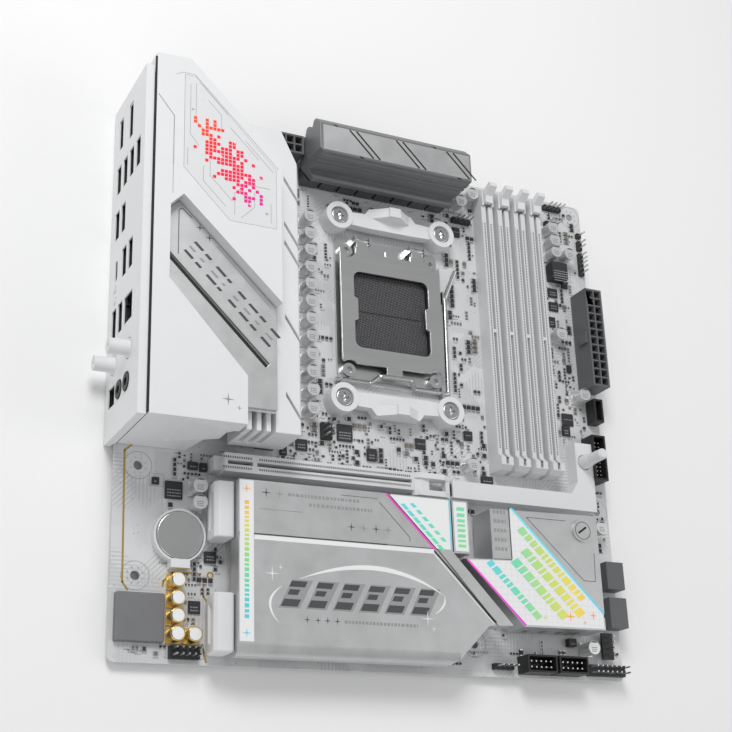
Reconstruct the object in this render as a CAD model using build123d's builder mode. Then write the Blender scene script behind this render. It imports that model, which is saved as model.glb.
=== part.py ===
"""Micro-ATX computer motherboard, built as separate pieces in their real places.

The origin is the datum mounting hole at the underside of the board, +X runs from the rear
(connector) edge to the front edge, +Y from the bottom (expansion) edge to the top edge, and
+Z up from the component side. Places below are measured from the rear and bottom edges, and
heights from the board's top face: plan(), facing_front() and facing_bottom() turn them into
the part's own frame.
"""

import os

from build123d import *

os.makedirs("parts", exist_ok=True)

# ------------------------------------------------------------------ board and its holes
board_depth = 243.84
board_length = 243.84
board_thickness = 1.57
board_corner = 3.0
datum_from_rear = 10.16
datum_from_bottom = 80.01
hole_radius = 1.98
rear_low_hole_y = 34.29
middle_hole_x = 165.1
bottom_hole_y = 13.97
front_hole_inset = 6.35
top_hole_inset = 6.35
rear_top_hole_inset = 29.21

# ------------------------------------------------------------------ clearances
gap = 0.3
pin_clearance = 0.05
seat_clearance = 0.15

# ------------------------------------------------------------------ processor socket
socket_x = 128.2
socket_from_top = 80.3
cooler_half_x = 27.0
cooler_half_y = 45.0
backplate_width = 66.0
backplate_length = 104.0
backplate_thickness = 2.2
backplate_window = 22.0
cooler_boss_radius = 3.0
bracket_screw_radius = 1.7
bracket_boss_radius = 6.8
bracket_height = 8.6
bracket_recess_radius = 4.4
bracket_recess_depth = 2.4
bracket_arm_inner = 41.2
bracket_arm_outer = 48.4
bracket_arm_low = 2.4
bracket_shoulder = 11.0
bracket_hook_half = 2.8
bracket_hook_reach = 51.5
bracket_hook_height = 13.0
frame_screw_x = 22.2
frame_screw_y = 29.8
frame_boss_radius = 2.2
frame_screw_radius = 1.4
frame_screw_head = 3.2
frame_screw_head_height = 2.3
socket_half_x = 23.5
socket_half_y = 24.0
socket_height = 4.0
contact_half = 19.4
contact_floor = 1.6
contact_thickness = 0.8
steel_frame_half_x = 27.0
steel_frame_bottom = 33.1
steel_frame_top = 36.6
steel_frame_low = 0.3
steel_frame_thickness = 1.2
plate_half_x = 26.2
plate_bottom = 27.0
plate_top = 31.5
plate_low = 4.5
plate_thickness = 1.2
plate_window_x = 19.5
plate_window_y = 18.9
plate_nose_width = 8.0
plate_nose_reach = 30.4
plate_lug_reach = 1.9
plate_lug_half = 5.0
plate_lug_slope = 1.6
plate_relief_x = 6.6
plate_relief_width = 8.4
plate_relief_depth = 2.6
hinge_y = 34.9
hinge_arm_x = 14.6
hinge_arm_width = 6.0
hinge_barrel_radius = 1.2
hinge_ear_thickness = 1.0
wire_radius = 1.1
lever_axis_y = 34.6
lever_axis_height = 2.2
crank_rise = 3.9
crank_offset = 2.6
crank_start = -9.0
crank_end = 9.5
lever_arm_x = 29.5
lever_arm_length = 48.0
lever_tip_x = 32.6
lever_tip_y = 26.0
lever_tip_height = 9.5

# ------------------------------------------------------------------ memory slots
memory_slots = 4
memory_pitch = 9.4
memory_first_from_front = 61.94
memory_width = 6.5
memory_bottom_from_top = 151.0
memory_body_length = 135.7
memory_height = 8.6
memory_end_height = 11.5
memory_end_length = 8.0
memory_groove = 1.5
memory_groove_floor = 2.6
memory_key_from_bottom = 69.5
memory_key_width = 1.6
cheek_length = 10.5
cheek_inner = 4.6
latch_width = 4.0
latch_pin_radius = 1.0
latch_pin_inset = 4.6
latch_pin_height = 2.8

# ------------------------------------------------------------------ power connectors
power_pitch = 4.2
power_wall = 0.6
power_height = 13.0
power_cavity = 3.4
power_cavity_depth = 10.5
main_power_columns = 12
main_power_inset = 0.7
main_power_bottom_from_top = 103.84
cpu_power_columns = 4
cpu_power_inset = 0.7
power_neighbour_gap = 0.6
pin_width = 0.64
solder_tip = 1.4

# ------------------------------------------------------------------ regulator and heatsinks
side_sink_x = 46.0
side_sink_front = 70.6
side_sink_bottom_from_top = 153.3
side_sink_height = 30.0
side_sink_corner_x = 62.5
side_sink_corner_drop = 28.8
side_channel_count = 3
side_channel_pitch = 4.2
side_channel_width = 2.2
side_channel_end_drop = 28.0
sink_floor = 7.6
top_sink_x = 82.0
top_sink_end_x = 161.0
top_sink_face_depth = 14.5
top_sink_face_inset = 2.0
top_sink_height = 30.0
top_sink_flange_from_top = 20.3
top_choke_count = 8
side_choke_count = 8
choke_size = 8.4
choke_height = 6.6
side_choke_x = 65.2
capacitor_radius = 3.1
capacitor_height = 8.0
capacitor_base = 6.4
side_capacitor_count = 12
side_capacitor_x = 86.3
side_capacitor_top_drop = 38.4
side_capacitor_pitch = 8.48

# ------------------------------------------------------------------ rear connectors
shield_face = -3.5
shield_thickness = 0.6
shield_length = 156.0
shield_low = -3.8
shield_high = 41.5
shield_return = 3.6
shroud_rear = 1.0
shroud_front = 57.4
shroud_overhang = 6.4
shroud_height = 42.0
shroud_wall = 2.0
shelf_height = 34.0
panel_thickness = 2.0
window_thickness = 1.0
port_front = -2.6
port_wall = 0.6
usb_opening_width = 13.0
usb_opening_height = 5.8
usb_depth = 17.0
usb_tongue_thickness = 1.9
antenna_radius = 4.2
antenna_reach = 8.5
jack_radius = 3.9
jack_bore = 1.8

# ------------------------------------------------------------------ expansion area
pcie_x = 43.8
pcie_length = 88.9
pcie_width = 8.0
pcie_y = 82.1
pcie_height = 11.0
pcie_foot = 3.6
pcie_groove = 1.7
pcie_groove_floor = 3.0
pcie_key_x = 12.6
pcie_key_width = 1.9
pcie_latch_width = 10.5
pcie_latch_length = 19.6
latch_rail_gap = 1.1
rail_height = 8.0
rail_wall = 1.2
rail_front_inset = 11.8
button_radius = 3.4
rail_leg = 9.6
button_tip_height = 24.0
cover_height = 17.0
cover_floor = 8.0
cover_x = 47.7
cover_bottom = 2.0
cover_top = 73.5
cover_roll = 5.0
cover_nose_x = 148.0
m2_latch_width = 8.4
m2_latch_x = cover_x - gap - m2_latch_width
battery_low_y = 41.1
battery_radius = 10.0
battery_thickness = 3.2
battery_wall = 1.0
latch_swing_room = 0.7
capacitor_row_room = 2.7
audio_capacitor_height = 7.0


# ------------------------------------------------------------------ places and shapes
front = board_depth
top = board_length
socket_y = top - socket_from_top
memory_bottom = top - memory_bottom_from_top
battery_x = m2_latch_x - latch_swing_room - battery_wall - battery_radius
battery_y = battery_low_y + battery_radius
battery_row_y = battery_y + battery_radius + battery_wall + capacitor_row_room
shield_bottom = top - shield_length


def plan(height, x=0.0, y=0.0):
    """Plane parallel to the board, at a height over its top face."""
    return Plane(origin=(x - datum_from_rear, y - datum_from_bottom, board_thickness + height))


def facing_front(x):
    """Upright plane whose sketch has Y across and height up, and that looks to +X."""
    origin = (x - datum_from_rear, -datum_from_bottom, board_thickness)
    return Plane(origin=origin, x_dir=(0, 1, 0), z_dir=(1, 0, 0))


def facing_bottom(y):
    """Upright plane whose sketch has X across and height up, and that looks to -Y."""
    origin = (-datum_from_rear, y - datum_from_bottom, board_thickness)
    return Plane(origin=origin, x_dir=(1, 0, 0), z_dir=(0, -1, 0))


def block(x_from, x_to, y_from, y_to, low, high, mode=Mode.ADD):
    """Rectangular block between two corners, worked into the open part."""
    with BuildSketch(plan(low)) as footprint:
        with Locations(((x_from + x_to) / 2, (y_from + y_to) / 2)):
            Rectangle(x_to - x_from, y_to - y_from)
    extrude(footprint.sketch, amount=high - low, mode=mode)


def slab(points, low, high, mode=Mode.ADD):
    """Prism on a polygon, worked into the open part."""
    with BuildSketch(plan(low)) as footprint:
        with BuildLine():
            Polyline(*points, close=True)
        make_face()
    extrude(footprint.sketch, amount=high - low, mode=mode)


def posts(spots, radius, low, high, mode=Mode.ADD):
    """Round posts or holes at the given places, worked into the open part."""
    with BuildSketch(plan(low)) as footprint:
        with Locations(*spots):
            Circle(radius)
    extrude(footprint.sketch, amount=high - low, mode=mode)


def pads(spots, width, length, low, high, mode=Mode.ADD):
    """Equal rectangular blocks at the given places, worked into the open part."""
    with BuildSketch(plan(low)) as footprint:
        with Locations(*spots):
            Rectangle(width, length)
    extrude(footprint.sketch, amount=high - low, mode=mode)


def profile_along_x(points, x_from, x_to, mode=Mode.ADD):
    """Prism along X on a (y, height) outline, worked into the open part."""
    with BuildSketch(facing_front(x_from)) as section:
        with BuildLine():
            Polyline(*points, close=True)
        make_face()
    extrude(section.sketch, amount=x_to - x_from, mode=mode)


def profile_along_y(points, y_from, y_to, mode=Mode.ADD):
    """Prism along Y on an (x, height) outline, worked into the open part."""
    with BuildSketch(facing_bottom(y_to)) as section:
        with BuildLine():
            Polyline(*points, close=True)
        make_face()
    extrude(section.sketch, amount=y_to - y_from, mode=mode)


def from_socket(offsets):
    """Places given from the socket's centre, as places on the board."""
    return [(socket_x + x, socket_y + y) for x, y in offsets]


def four(half_x, half_y):
    """The four corners of a rectangle about the socket's centre."""
    return from_socket([(x, y) for x in (-half_x, half_x) for y in (-half_y, half_y)])


def save(piece, name):
    """Label the finished piece and write its file."""
    piece.part.label = name
    export_step(piece.part, f"parts/{name}.step")


# ================================================================== circuit board
mounting_holes = [
    (datum_from_rear, datum_from_bottom),
    (datum_from_rear, rear_low_hole_y),
    (datum_from_rear, top - rear_top_hole_inset),
    (middle_hole_x, top - top_hole_inset),
    (middle_hole_x, datum_from_bottom),
    (middle_hole_x, bottom_hole_y),
    (front - front_hole_inset, top - top_hole_inset),
    (front - front_hole_inset, datum_from_bottom),
]
cooler_spots = four(cooler_half_x, cooler_half_y)
frame_screw_spots = four(frame_screw_x, frame_screw_y)

with BuildPart() as pcb:
    with BuildSketch(plan(-board_thickness)):
        with Locations((board_depth / 2, board_length / 2)):
            RectangleRounded(board_depth, board_length, board_corner)
        with Locations(*mounting_holes):
            Circle(hole_radius, mode=Mode.SUBTRACT)
        with Locations(*cooler_spots):
            Circle(cooler_boss_radius + seat_clearance, mode=Mode.SUBTRACT)
        with Locations(*frame_screw_spots):
            Circle(frame_boss_radius + seat_clearance, mode=Mode.SUBTRACT)
    extrude(amount=board_thickness)
save(pcb, "pcb")

# ================================================================== processor socket
backplate_low = -board_thickness - backplate_thickness

with BuildPart() as cpu_backplate:
    with BuildSketch(plan(backplate_low, socket_x, socket_y)):
        RectangleRounded(backplate_width, backplate_length, 6.0)
        RectangleRounded(backplate_window, backplate_window, 3.0, mode=Mode.SUBTRACT)
    extrude(amount=backplate_thickness)
    posts(cooler_spots, cooler_boss_radius, -board_thickness, 0.0)
    posts(frame_screw_spots, frame_boss_radius, -board_thickness, 0.0)
    posts(cooler_spots, bracket_screw_radius + pin_clearance, backplate_low, 0.0, Mode.SUBTRACT)
    posts(frame_screw_spots, frame_screw_radius + pin_clearance, backplate_low, 0.0, Mode.SUBTRACT)
save(cpu_backplate, "cpu_backplate")

with BuildPart() as socket_body:
    with BuildSketch(plan(0.0, socket_x, socket_y)):
        RectangleRounded(2 * socket_half_x, 2 * socket_half_y, 1.5)
    extrude(amount=socket_height)
    with BuildSketch(plan(contact_floor, socket_x, socket_y)):
        Rectangle(2 * (contact_half + seat_clearance), 2 * (contact_half + seat_clearance))
    extrude(amount=socket_height, mode=Mode.SUBTRACT)
save(socket_body, "socket_body")

with BuildPart() as contact_field:
    with BuildSketch(plan(contact_floor, socket_x, socket_y)):
        Rectangle(2 * contact_half, 2 * contact_half)
    extrude(amount=contact_thickness)
    with BuildSketch(plan(contact_floor + contact_thickness / 2, socket_x, socket_y)):
        Rectangle(2 * contact_half - 6.0, 0.8)
    extrude(amount=contact_thickness, mode=Mode.SUBTRACT)
save(contact_field, "contact_field")

steel_frame_high = steel_frame_low + steel_frame_thickness
lever_spot_y = socket_y - lever_axis_y
hinge_height = plate_low + plate_thickness / 2
hinge_ear_x = hinge_arm_width / 2 + gap

with BuildPart() as socket_frame:
    with BuildSketch(plan(steel_frame_low, socket_x, socket_y)):
        with Locations((0, (steel_frame_top - steel_frame_bottom) / 2)):
            RectangleRounded(2 * steel_frame_half_x, steel_frame_top + steel_frame_bottom, 3.0)
        Rectangle(2 * (socket_half_x + gap), 2 * (socket_half_y + gap), mode=Mode.SUBTRACT)
    extrude(amount=steel_frame_thickness)
    posts(frame_screw_spots, frame_screw_radius + gap, 0.0, steel_frame_high, Mode.SUBTRACT)
    for side in (-1, 1):
        # Ears that carry the lever's bar.
        ear = socket_x + side * (steel_frame_half_x - 1.0)
        ear_outline = [
            (socket_y - steel_frame_bottom + 1.5, steel_frame_low),
            (lever_spot_y - 2.4, steel_frame_low),
            (lever_spot_y - 2.4, lever_axis_height + 1.4),
            (lever_spot_y + 2.2, lever_axis_height + 1.4),
            (socket_y - steel_frame_bottom + 1.5, steel_frame_high),
        ]
        profile_along_x(ear_outline, ear - 0.6, ear + 0.6)
        with BuildSketch(facing_front(ear - 0.6)):
            with Locations((lever_spot_y, lever_axis_height)):
                Circle(wire_radius + pin_clearance)
        extrude(amount=1.2, mode=Mode.SUBTRACT)
        # Ears that carry the load plate's hinge pins.
        for edge in (-1, 1):
            middle = socket_x + side * hinge_arm_x + edge * (hinge_ear_x + hinge_ear_thickness / 2)
            block(middle - hinge_ear_thickness / 2, middle + hinge_ear_thickness / 2,
                  socket_y + hinge_y - 1.7, socket_y + steel_frame_top,
                  steel_frame_low, hinge_height + 1.7)
            with BuildSketch(facing_front(middle - hinge_ear_thickness / 2)):
                with Locations((socket_y + hinge_y, hinge_height)):
                    Circle(hinge_barrel_radius - 0.4 + pin_clearance)
            extrude(amount=hinge_ear_thickness, mode=Mode.SUBTRACT)
    # Catch beside the lever's arm.
    catch_x = socket_x + lever_arm_x - wire_radius - gap
    block(socket_x + steel_frame_half_x - 1.0, catch_x, socket_y + 10.0, socket_y + 16.0,
          steel_frame_low, steel_frame_high)
    block(catch_x - 0.8, catch_x, socket_y + 10.0, socket_y + 16.0, steel_frame_low, 5.6)
save(socket_frame, "socket_frame")

with BuildPart() as load_plate:
    with BuildSketch(plan(plate_low, socket_x, socket_y)):
        with Locations((0, (plate_top - plate_bottom) / 2)):
            RectangleRounded(2 * plate_half_x, plate_top + plate_bottom, 2.0)
        with Locations((0, -(plate_bottom + plate_nose_reach) / 2 + 1.0)):
            Rectangle(plate_nose_width, plate_nose_reach - plate_bottom + 2.0)
        for side in (-1, 1):
            with Locations((side * hinge_arm_x, (plate_top + hinge_y) / 2 - 0.5)):
                Rectangle(hinge_arm_width, hinge_y - plate_top + 1.0)
        for x in (-frame_screw_x, frame_screw_x):
            for y in (-frame_screw_y, frame_screw_y):
                with Locations((x, y)):
                    Circle(frame_screw_head + 1.0, mode=Mode.SUBTRACT)
        RectangleRounded(2 * plate_window_x, 2 * plate_window_y, 3.5, mode=Mode.SUBTRACT)
        # Lugs at the window's sides, which bear on the processor's edges.
        for side in (-1, 1):
            lug_edge = side * (plate_window_x + 1.0)
            lug_tip = side * (plate_window_x - plate_lug_reach)
            with BuildLine():
                Polyline((lug_edge, -plate_lug_half - plate_lug_slope), (lug_tip, -plate_lug_half),
                         (lug_tip, plate_lug_half), (lug_edge, plate_lug_half + plate_lug_slope),
                         close=True)
            make_face()
        # Reliefs beside the hinge arms.
        for side in (-1, 1):
            with Locations((side * plate_relief_x, plate_top)):
                Rectangle(plate_relief_width, 2 * plate_relief_depth, mode=Mode.SUBTRACT)
    extrude(amount=plate_thickness)
    for side in (-1, 1):
        arm = socket_x + side * hinge_arm_x
        with BuildSketch(facing_front(arm - hinge_arm_width / 2)):
            with Locations((socket_y + hinge_y, hinge_height)):
                Circle(hinge_barrel_radius)
        extrude(amount=hinge_arm_width)
        with BuildSketch(facing_front(arm - hinge_ear_x - hinge_ear_thickness)):
            with Locations((socket_y + hinge_y, hinge_height)):
                Circle(hinge_barrel_radius - 0.4)
        extrude(amount=2 * (hinge_ear_x + hinge_ear_thickness))
save(load_plate, "load_plate")

lever_low = board_thickness + lever_axis_height
bar_y = lever_spot_y - datum_from_bottom
lever_origin_x = socket_x - datum_from_rear
lever_path_points = [
    (lever_origin_x - steel_frame_half_x - 1.5, bar_y, lever_low),
    (lever_origin_x + crank_start - 2.0, bar_y, lever_low),
    (lever_origin_x + crank_start + 1.5, bar_y + crank_offset, lever_low + crank_rise),
    (lever_origin_x + crank_end - 1.5, bar_y + crank_offset, lever_low + crank_rise),
    (lever_origin_x + crank_end + 2.0, bar_y, lever_low),
    (lever_origin_x + lever_arm_x, bar_y, lever_low),
    (lever_origin_x + lever_arm_x, bar_y + lever_arm_length, lever_low + 1.2),
    (lever_origin_x + lever_tip_x, socket_y + lever_tip_y - datum_from_bottom,
     board_thickness + lever_tip_height),
]

with BuildPart() as load_lever:
    with BuildLine():
        FilletPolyline(*lever_path_points, radius=1.5)
    with BuildSketch(Plane(origin=lever_path_points[0], z_dir=(1, 0, 0))):
        Circle(wire_radius)
    sweep()
save(load_lever, "load_lever")

with BuildPart() as socket_screws:
    posts(frame_screw_spots, frame_screw_head, steel_frame_high,
          steel_frame_high + frame_screw_head_height)
    posts(frame_screw_spots, frame_screw_radius, -board_thickness - 1.5, steel_frame_high)
    with BuildSketch(plan(steel_frame_high + 1.0)):
        with Locations(*frame_screw_spots):
            RegularPolygon(1.7, 6)
    extrude(amount=frame_screw_head_height, mode=Mode.SUBTRACT)
save(socket_screws, "socket_screws")


bracket_arm_high = bracket_height - 1.2


def cooler_bracket(direction):
    """One cooler bracket: two screw bosses joined by an arm with a hook tab."""
    with BuildPart() as bracket:
        boss_y = socket_y + direction * cooler_half_y
        spots = [(socket_x - cooler_half_x, boss_y), (socket_x + cooler_half_x, boss_y)]
        posts(spots, bracket_boss_radius, 0.0, bracket_height)
        arm_outline = [
            (-cooler_half_x, bracket_arm_inner + 0.6),
            (-bracket_shoulder, bracket_arm_inner),
            (bracket_shoulder, bracket_arm_inner),
            (cooler_half_x, bracket_arm_inner + 0.6),
            (cooler_half_x, bracket_arm_outer - 0.6),
            (bracket_shoulder + 2.4, bracket_arm_outer),
            (bracket_shoulder, bracket_hook_reach),
            (-bracket_shoulder, bracket_hook_reach),
            (-bracket_shoulder - 2.4, bracket_arm_outer),
            (-cooler_half_x, bracket_arm_outer - 0.6),
        ]
        slab(from_socket([(x, direction * y) for x, y in arm_outline]),
             bracket_arm_low, bracket_arm_high)
        # Hook for a cooler's clip, with sloping shoulders down to the arm.
        hook_ends = sorted((socket_y + direction * (bracket_arm_outer - 1.6),
                            socket_y + direction * bracket_hook_reach))
        hook_outline = [
            (socket_x - bracket_shoulder + 1.0, bracket_arm_low),
            (socket_x + bracket_shoulder - 1.0, bracket_arm_low),
            (socket_x + bracket_shoulder - 1.0, bracket_arm_high),
            (socket_x + bracket_hook_half + 0.4, bracket_hook_height - 1.0),
            (socket_x + bracket_hook_half, bracket_hook_height),
            (socket_x - bracket_hook_half, bracket_hook_height),
            (socket_x - bracket_hook_half - 0.4, bracket_hook_height - 1.0),
            (socket_x - bracket_shoulder + 1.0, bracket_arm_high),
        ]
        profile_along_y(hook_outline, *hook_ends)
        posts(spots, bracket_recess_radius, bracket_height - bracket_recess_depth,
              bracket_height, Mode.SUBTRACT)
        posts(spots, bracket_screw_radius + gap, 0.0, bracket_height, Mode.SUBTRACT)
    return bracket


save(cooler_bracket(1), "cooler_bracket_top")
save(cooler_bracket(-1), "cooler_bracket_bottom")

bracket_seat = bracket_height - bracket_recess_depth

with BuildPart() as bracket_screws:
    posts(cooler_spots, bracket_recess_radius - gap, bracket_seat, bracket_seat + 2.0)
    posts(cooler_spots, bracket_screw_radius, -board_thickness - 1.8, bracket_seat)
    fillet(bracket_screws.edges().filter_by(GeomType.CIRCLE).group_by(Axis.Z)[-1], 0.8)
    with BuildSketch(plan(bracket_seat + 0.9)):
        with Locations(*cooler_spots):
            Rectangle(4.2, 0.9)
            Rectangle(0.9, 4.2)
    extrude(amount=2.0, mode=Mode.SUBTRACT)
save(bracket_screws, "bracket_screws")

# ================================================================== memory slots
memory_top = memory_bottom + memory_body_length
cheek_end = memory_top + cheek_length
latch_pin_y = memory_top + latch_pin_inset


def memory_slot_x(number):
    """Centre line of a memory slot, counted from the socket's side."""
    return front - memory_first_from_front + number * memory_pitch


def memory_slot(number):
    """Slot body with its card groove, fixed lower end and the cheeks of the upper latch."""
    middle = memory_slot_x(number)
    half = memory_width / 2
    key = memory_bottom + memory_key_from_bottom
    with BuildPart() as slot:
        block(middle - half, middle + half, memory_bottom, memory_top, 0.0, memory_height)
        end_outline = [
            (memory_bottom, 0.0),
            (memory_bottom + memory_end_length, 0.0),
            (memory_bottom + memory_end_length, memory_height),
            (memory_bottom + memory_end_length - 2.5, memory_end_height),
            (memory_bottom + 2.0, memory_end_height),
            (memory_bottom, memory_height),
        ]
        profile_along_x(end_outline, middle - half, middle + half)
        cheek_outline = [
            (memory_top, 0.0),
            (cheek_end, 0.0),
            (cheek_end, memory_height - 3.0),
            (cheek_end - 3.0, memory_height + 1.4),
            (memory_top, memory_height + 1.4),
        ]
        profile_along_x(cheek_outline, middle - half, middle + half)
        block(middle - cheek_inner / 2, middle + cheek_inner / 2, memory_top, cheek_end,
              0.4, memory_end_height, Mode.SUBTRACT)
        with BuildSketch(facing_front(middle - half)):
            with Locations((latch_pin_y, latch_pin_height)):
                Circle(latch_pin_radius + pin_clearance)
        extrude(amount=memory_width, mode=Mode.SUBTRACT)
        for low, high in ((memory_bottom + 2.4, key - memory_key_width / 2),
                          (key + memory_key_width / 2, memory_top)):
            block(middle - memory_groove / 2, middle + memory_groove / 2, low, high,
                  memory_groove_floor, memory_end_height, Mode.SUBTRACT)
    return slot


def memory_latch(number):
    """Latch that turns on its own pins between the cheeks of a slot."""
    middle = memory_slot_x(number)
    outline = [
        (latch_pin_y - 3.6, latch_pin_height - 1.2),
        (latch_pin_y - 1.6, latch_pin_height - 1.9),
        (latch_pin_y + 1.2, latch_pin_height - 1.9),
        (latch_pin_y + 3.0, latch_pin_height + 0.8),
        (latch_pin_y + 3.4, memory_height + 0.5),
        (latch_pin_y + 5.6, memory_height + 6.2),
        (latch_pin_y + 5.2, memory_height + 7.6),
        (latch_pin_y + 3.2, memory_height + 7.8),
        (latch_pin_y + 0.2, memory_height + 3.2),
        (latch_pin_y - 3.4, memory_height + 2.8),
        (latch_pin_y - 3.4, memory_height + 0.4),
        (latch_pin_y - 1.8, memory_height - 1.0),
        (latch_pin_y - 3.6, latch_pin_height + 2.4),
    ]
    with BuildPart() as latch:
        profile_along_x(outline, middle - latch_width / 2, middle + latch_width / 2)
        with BuildSketch(facing_front(middle - memory_width / 2)):
            with Locations((latch_pin_y, latch_pin_height)):
                Circle(latch_pin_radius)
        extrude(amount=memory_width)
    return latch


for number in range(memory_slots):
    save(memory_slot(number), f"memory_slot_{number + 1}")
    save(memory_latch(number), f"memory_latch_{number + 1}")

# ================================================================== power connectors
main_power_width = 2 * power_pitch + 2 * power_wall
main_power_length = main_power_columns * power_pitch + 2 * power_wall
main_power_x = front - main_power_inset - main_power_width
main_power_y = top - main_power_bottom_from_top
main_power_spots = [
    (main_power_x + power_wall + (row + 0.5) * power_pitch,
     main_power_y + power_wall + (column + 0.5) * power_pitch)
    for row in range(2) for column in range(main_power_columns)
]
cpu_power_length = cpu_power_columns * power_pitch + 2 * power_wall
cpu_power_x = top_sink_x - power_neighbour_gap - cpu_power_length
cpu_power_y = top - cpu_power_inset - main_power_width
cpu_power_spots = [
    (cpu_power_x + power_wall + (column + 0.5) * power_pitch,
     cpu_power_y + power_wall + (row + 0.5) * power_pitch)
    for row in range(2) for column in range(cpu_power_columns)
]
cavity_floor = power_height - power_cavity_depth

with BuildPart() as atx_power_socket:
    block(main_power_x, main_power_x + main_power_width, main_power_y,
          main_power_y + main_power_length, 0.0, power_height)
    middle = main_power_y + main_power_length / 2
    block(main_power_x - 1.4, main_power_x, middle - 3.0, middle + 3.0, 6.0, power_height - 1.5)
    pads(main_power_spots, power_cavity, power_cavity, cavity_floor, power_height, Mode.SUBTRACT)
save(atx_power_socket, "atx_power_socket")

with BuildPart() as cpu_power_socket:
    block(cpu_power_x, cpu_power_x + cpu_power_length, cpu_power_y,
          cpu_power_y + main_power_width, 0.0, power_height)
    middle = cpu_power_x + cpu_power_length / 2
    block(middle - 3.0, middle + 3.0, cpu_power_y - 1.4, cpu_power_y, 6.0, power_height - 1.5)
    pads(cpu_power_spots, power_cavity, power_cavity, cavity_floor, power_height, Mode.SUBTRACT)
save(cpu_power_socket, "cpu_power_socket")

# ================================================================== regulator heatsinks
side_sink_bottom = top - side_sink_bottom_from_top
side_sink_corner_y = top - side_sink_corner_drop
side_sink_end = cpu_power_y - power_neighbour_gap
side_slot_drops = [35.0, 57.0, 66.0, 101.0, 136.0]

with BuildPart() as vrm_heatsink_side:
    section = [
        (side_sink_x, sink_floor),
        (side_sink_front - 1.6, sink_floor),
        (side_sink_front, sink_floor + 2.0),
        (side_sink_front, side_sink_height - 0.8),
        (side_sink_front - 0.8, side_sink_height),
        (side_sink_x, side_sink_height),
    ]
    profile_along_y(section, side_sink_bottom, side_sink_end)
    slab([(side_sink_corner_x, side_sink_end), (side_sink_front + 1.0, side_sink_corner_y - 1.0),
          (side_sink_front + 1.0, side_sink_end)], 0.0, side_sink_height, Mode.SUBTRACT)
    for step in range(side_channel_count):
        channel = side_sink_x + 2.4 + step * side_channel_pitch
        block(channel, channel + side_channel_width, side_sink_bottom,
              side_sink_end - side_channel_end_drop,
              sink_floor + 5.0, side_sink_height, Mode.SUBTRACT)
    for drop in side_slot_drops:
        start = top - drop
        slab([(side_sink_corner_x + 1.2, start + 1.0), (side_sink_corner_x + 1.2, start - 1.0),
              (side_sink_front + 1.0, start - 13.4), (side_sink_front + 1.0, start - 11.4)],
             side_sink_height - 3.0, side_sink_height, Mode.SUBTRACT)
save(vrm_heatsink_side, "vrm_heatsink_side")

top_face_low = top - top_sink_face_inset - top_sink_face_depth
top_face_high = top - top_sink_face_inset
flange_y = top - top_sink_flange_from_top

with BuildPart() as vrm_heatsink_top:
    section = [
        (flange_y, sink_floor),
        (flange_y, sink_floor + 3.0),
        (flange_y + 1.0, sink_floor + 4.0),
        (flange_y + 3.6, sink_floor + 4.0),
        (top_face_low - 0.6, sink_floor + 8.0),
        (top_face_low - 0.6, top_sink_height - 3.4),
        (top_face_low, top_sink_height - 2.4),
        (top_face_low, top_sink_height - 0.6),
        (top_face_low + 0.6, top_sink_height),
        (top_face_high, top_sink_height),
        (top_face_high + 4.4, top_sink_height - 4.6),
        (top_face_high + 4.4, top_sink_height - 7.0),
        (top_face_high + 1.6, top_sink_height - 9.0),
        (top_face_high + 1.6, top_sink_height - 11.0),
        (top_face_high + 4.4, top_sink_height - 12.6),
        (top_face_high + 4.4, top_sink_height - 15.0),
        (top_face_high + 1.6, top_sink_height - 17.0),
        (top_face_high + 1.6, sink_floor),
    ]
    profile_along_x(section, top_sink_x, top_sink_end_x)
    slab([(top_sink_x - 1.0, flange_y - 1.0), (top_sink_x + 5.5, flange_y - 1.0),
          (top_sink_x - 1.0, flange_y + 6.5)], 0.0, top_sink_height, Mode.SUBTRACT)
    slab([(top_sink_end_x + 1.0, flange_y - 1.0), (top_sink_end_x - 2.5, flange_y - 1.0),
          (top_sink_end_x + 1.0, flange_y + 3.0)], 0.0, top_sink_height, Mode.SUBTRACT)
    for start in (top_sink_x + 6.5, top_sink_x + 58.0):
        slab([(start, top_face_high + 0.5), (start + 1.7, top_face_high + 0.5),
              (start + 16.2, top_face_low - 0.5), (start + 14.5, top_face_low - 0.5)],
             top_sink_height - 1.2, top_sink_height, Mode.SUBTRACT)
    for height in (top_sink_height - 6.2, top_sink_height - 9.6):
        block(top_sink_x, top_sink_end_x, top_face_low - 0.7, top_face_low,
              height - 1.1, height, Mode.SUBTRACT)
save(vrm_heatsink_top, "vrm_heatsink_top")

top_choke_pitch = (top_sink_end_x - top_sink_x - 12.0) / (top_choke_count - 1)
top_choke_spots = [
    (top_sink_x + 6.0 + step * top_choke_pitch, flange_y + choke_size / 2 + 0.6)
    for step in range(top_choke_count)
]
side_choke_pitch = (side_sink_corner_y - side_sink_bottom - 14.0) / (side_choke_count - 1)
side_choke_spots = [
    (side_choke_x, side_sink_bottom + 6.0 + step * side_choke_pitch)
    for step in range(side_choke_count)
]

with BuildPart() as vrm_chokes:
    pads(top_choke_spots + side_choke_spots, choke_size, choke_size, 0.6, choke_height)
    pads(top_choke_spots + side_choke_spots, choke_size - 1.6, choke_size - 1.6, 0.0, 0.6)
save(vrm_chokes, "vrm_chokes")

top_stage_spots = [(x, y + choke_size / 2 + 4.0) for x, y in top_choke_spots]
side_stage_spots = [(x - choke_size / 2 - 5.0, y) for x, y in side_choke_spots]
stage_height = 0.9

with BuildPart() as power_stages:
    pads(top_stage_spots + side_stage_spots, 5.0, 5.0, 0.0, stage_height)
save(power_stages, "power_stages")

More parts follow.
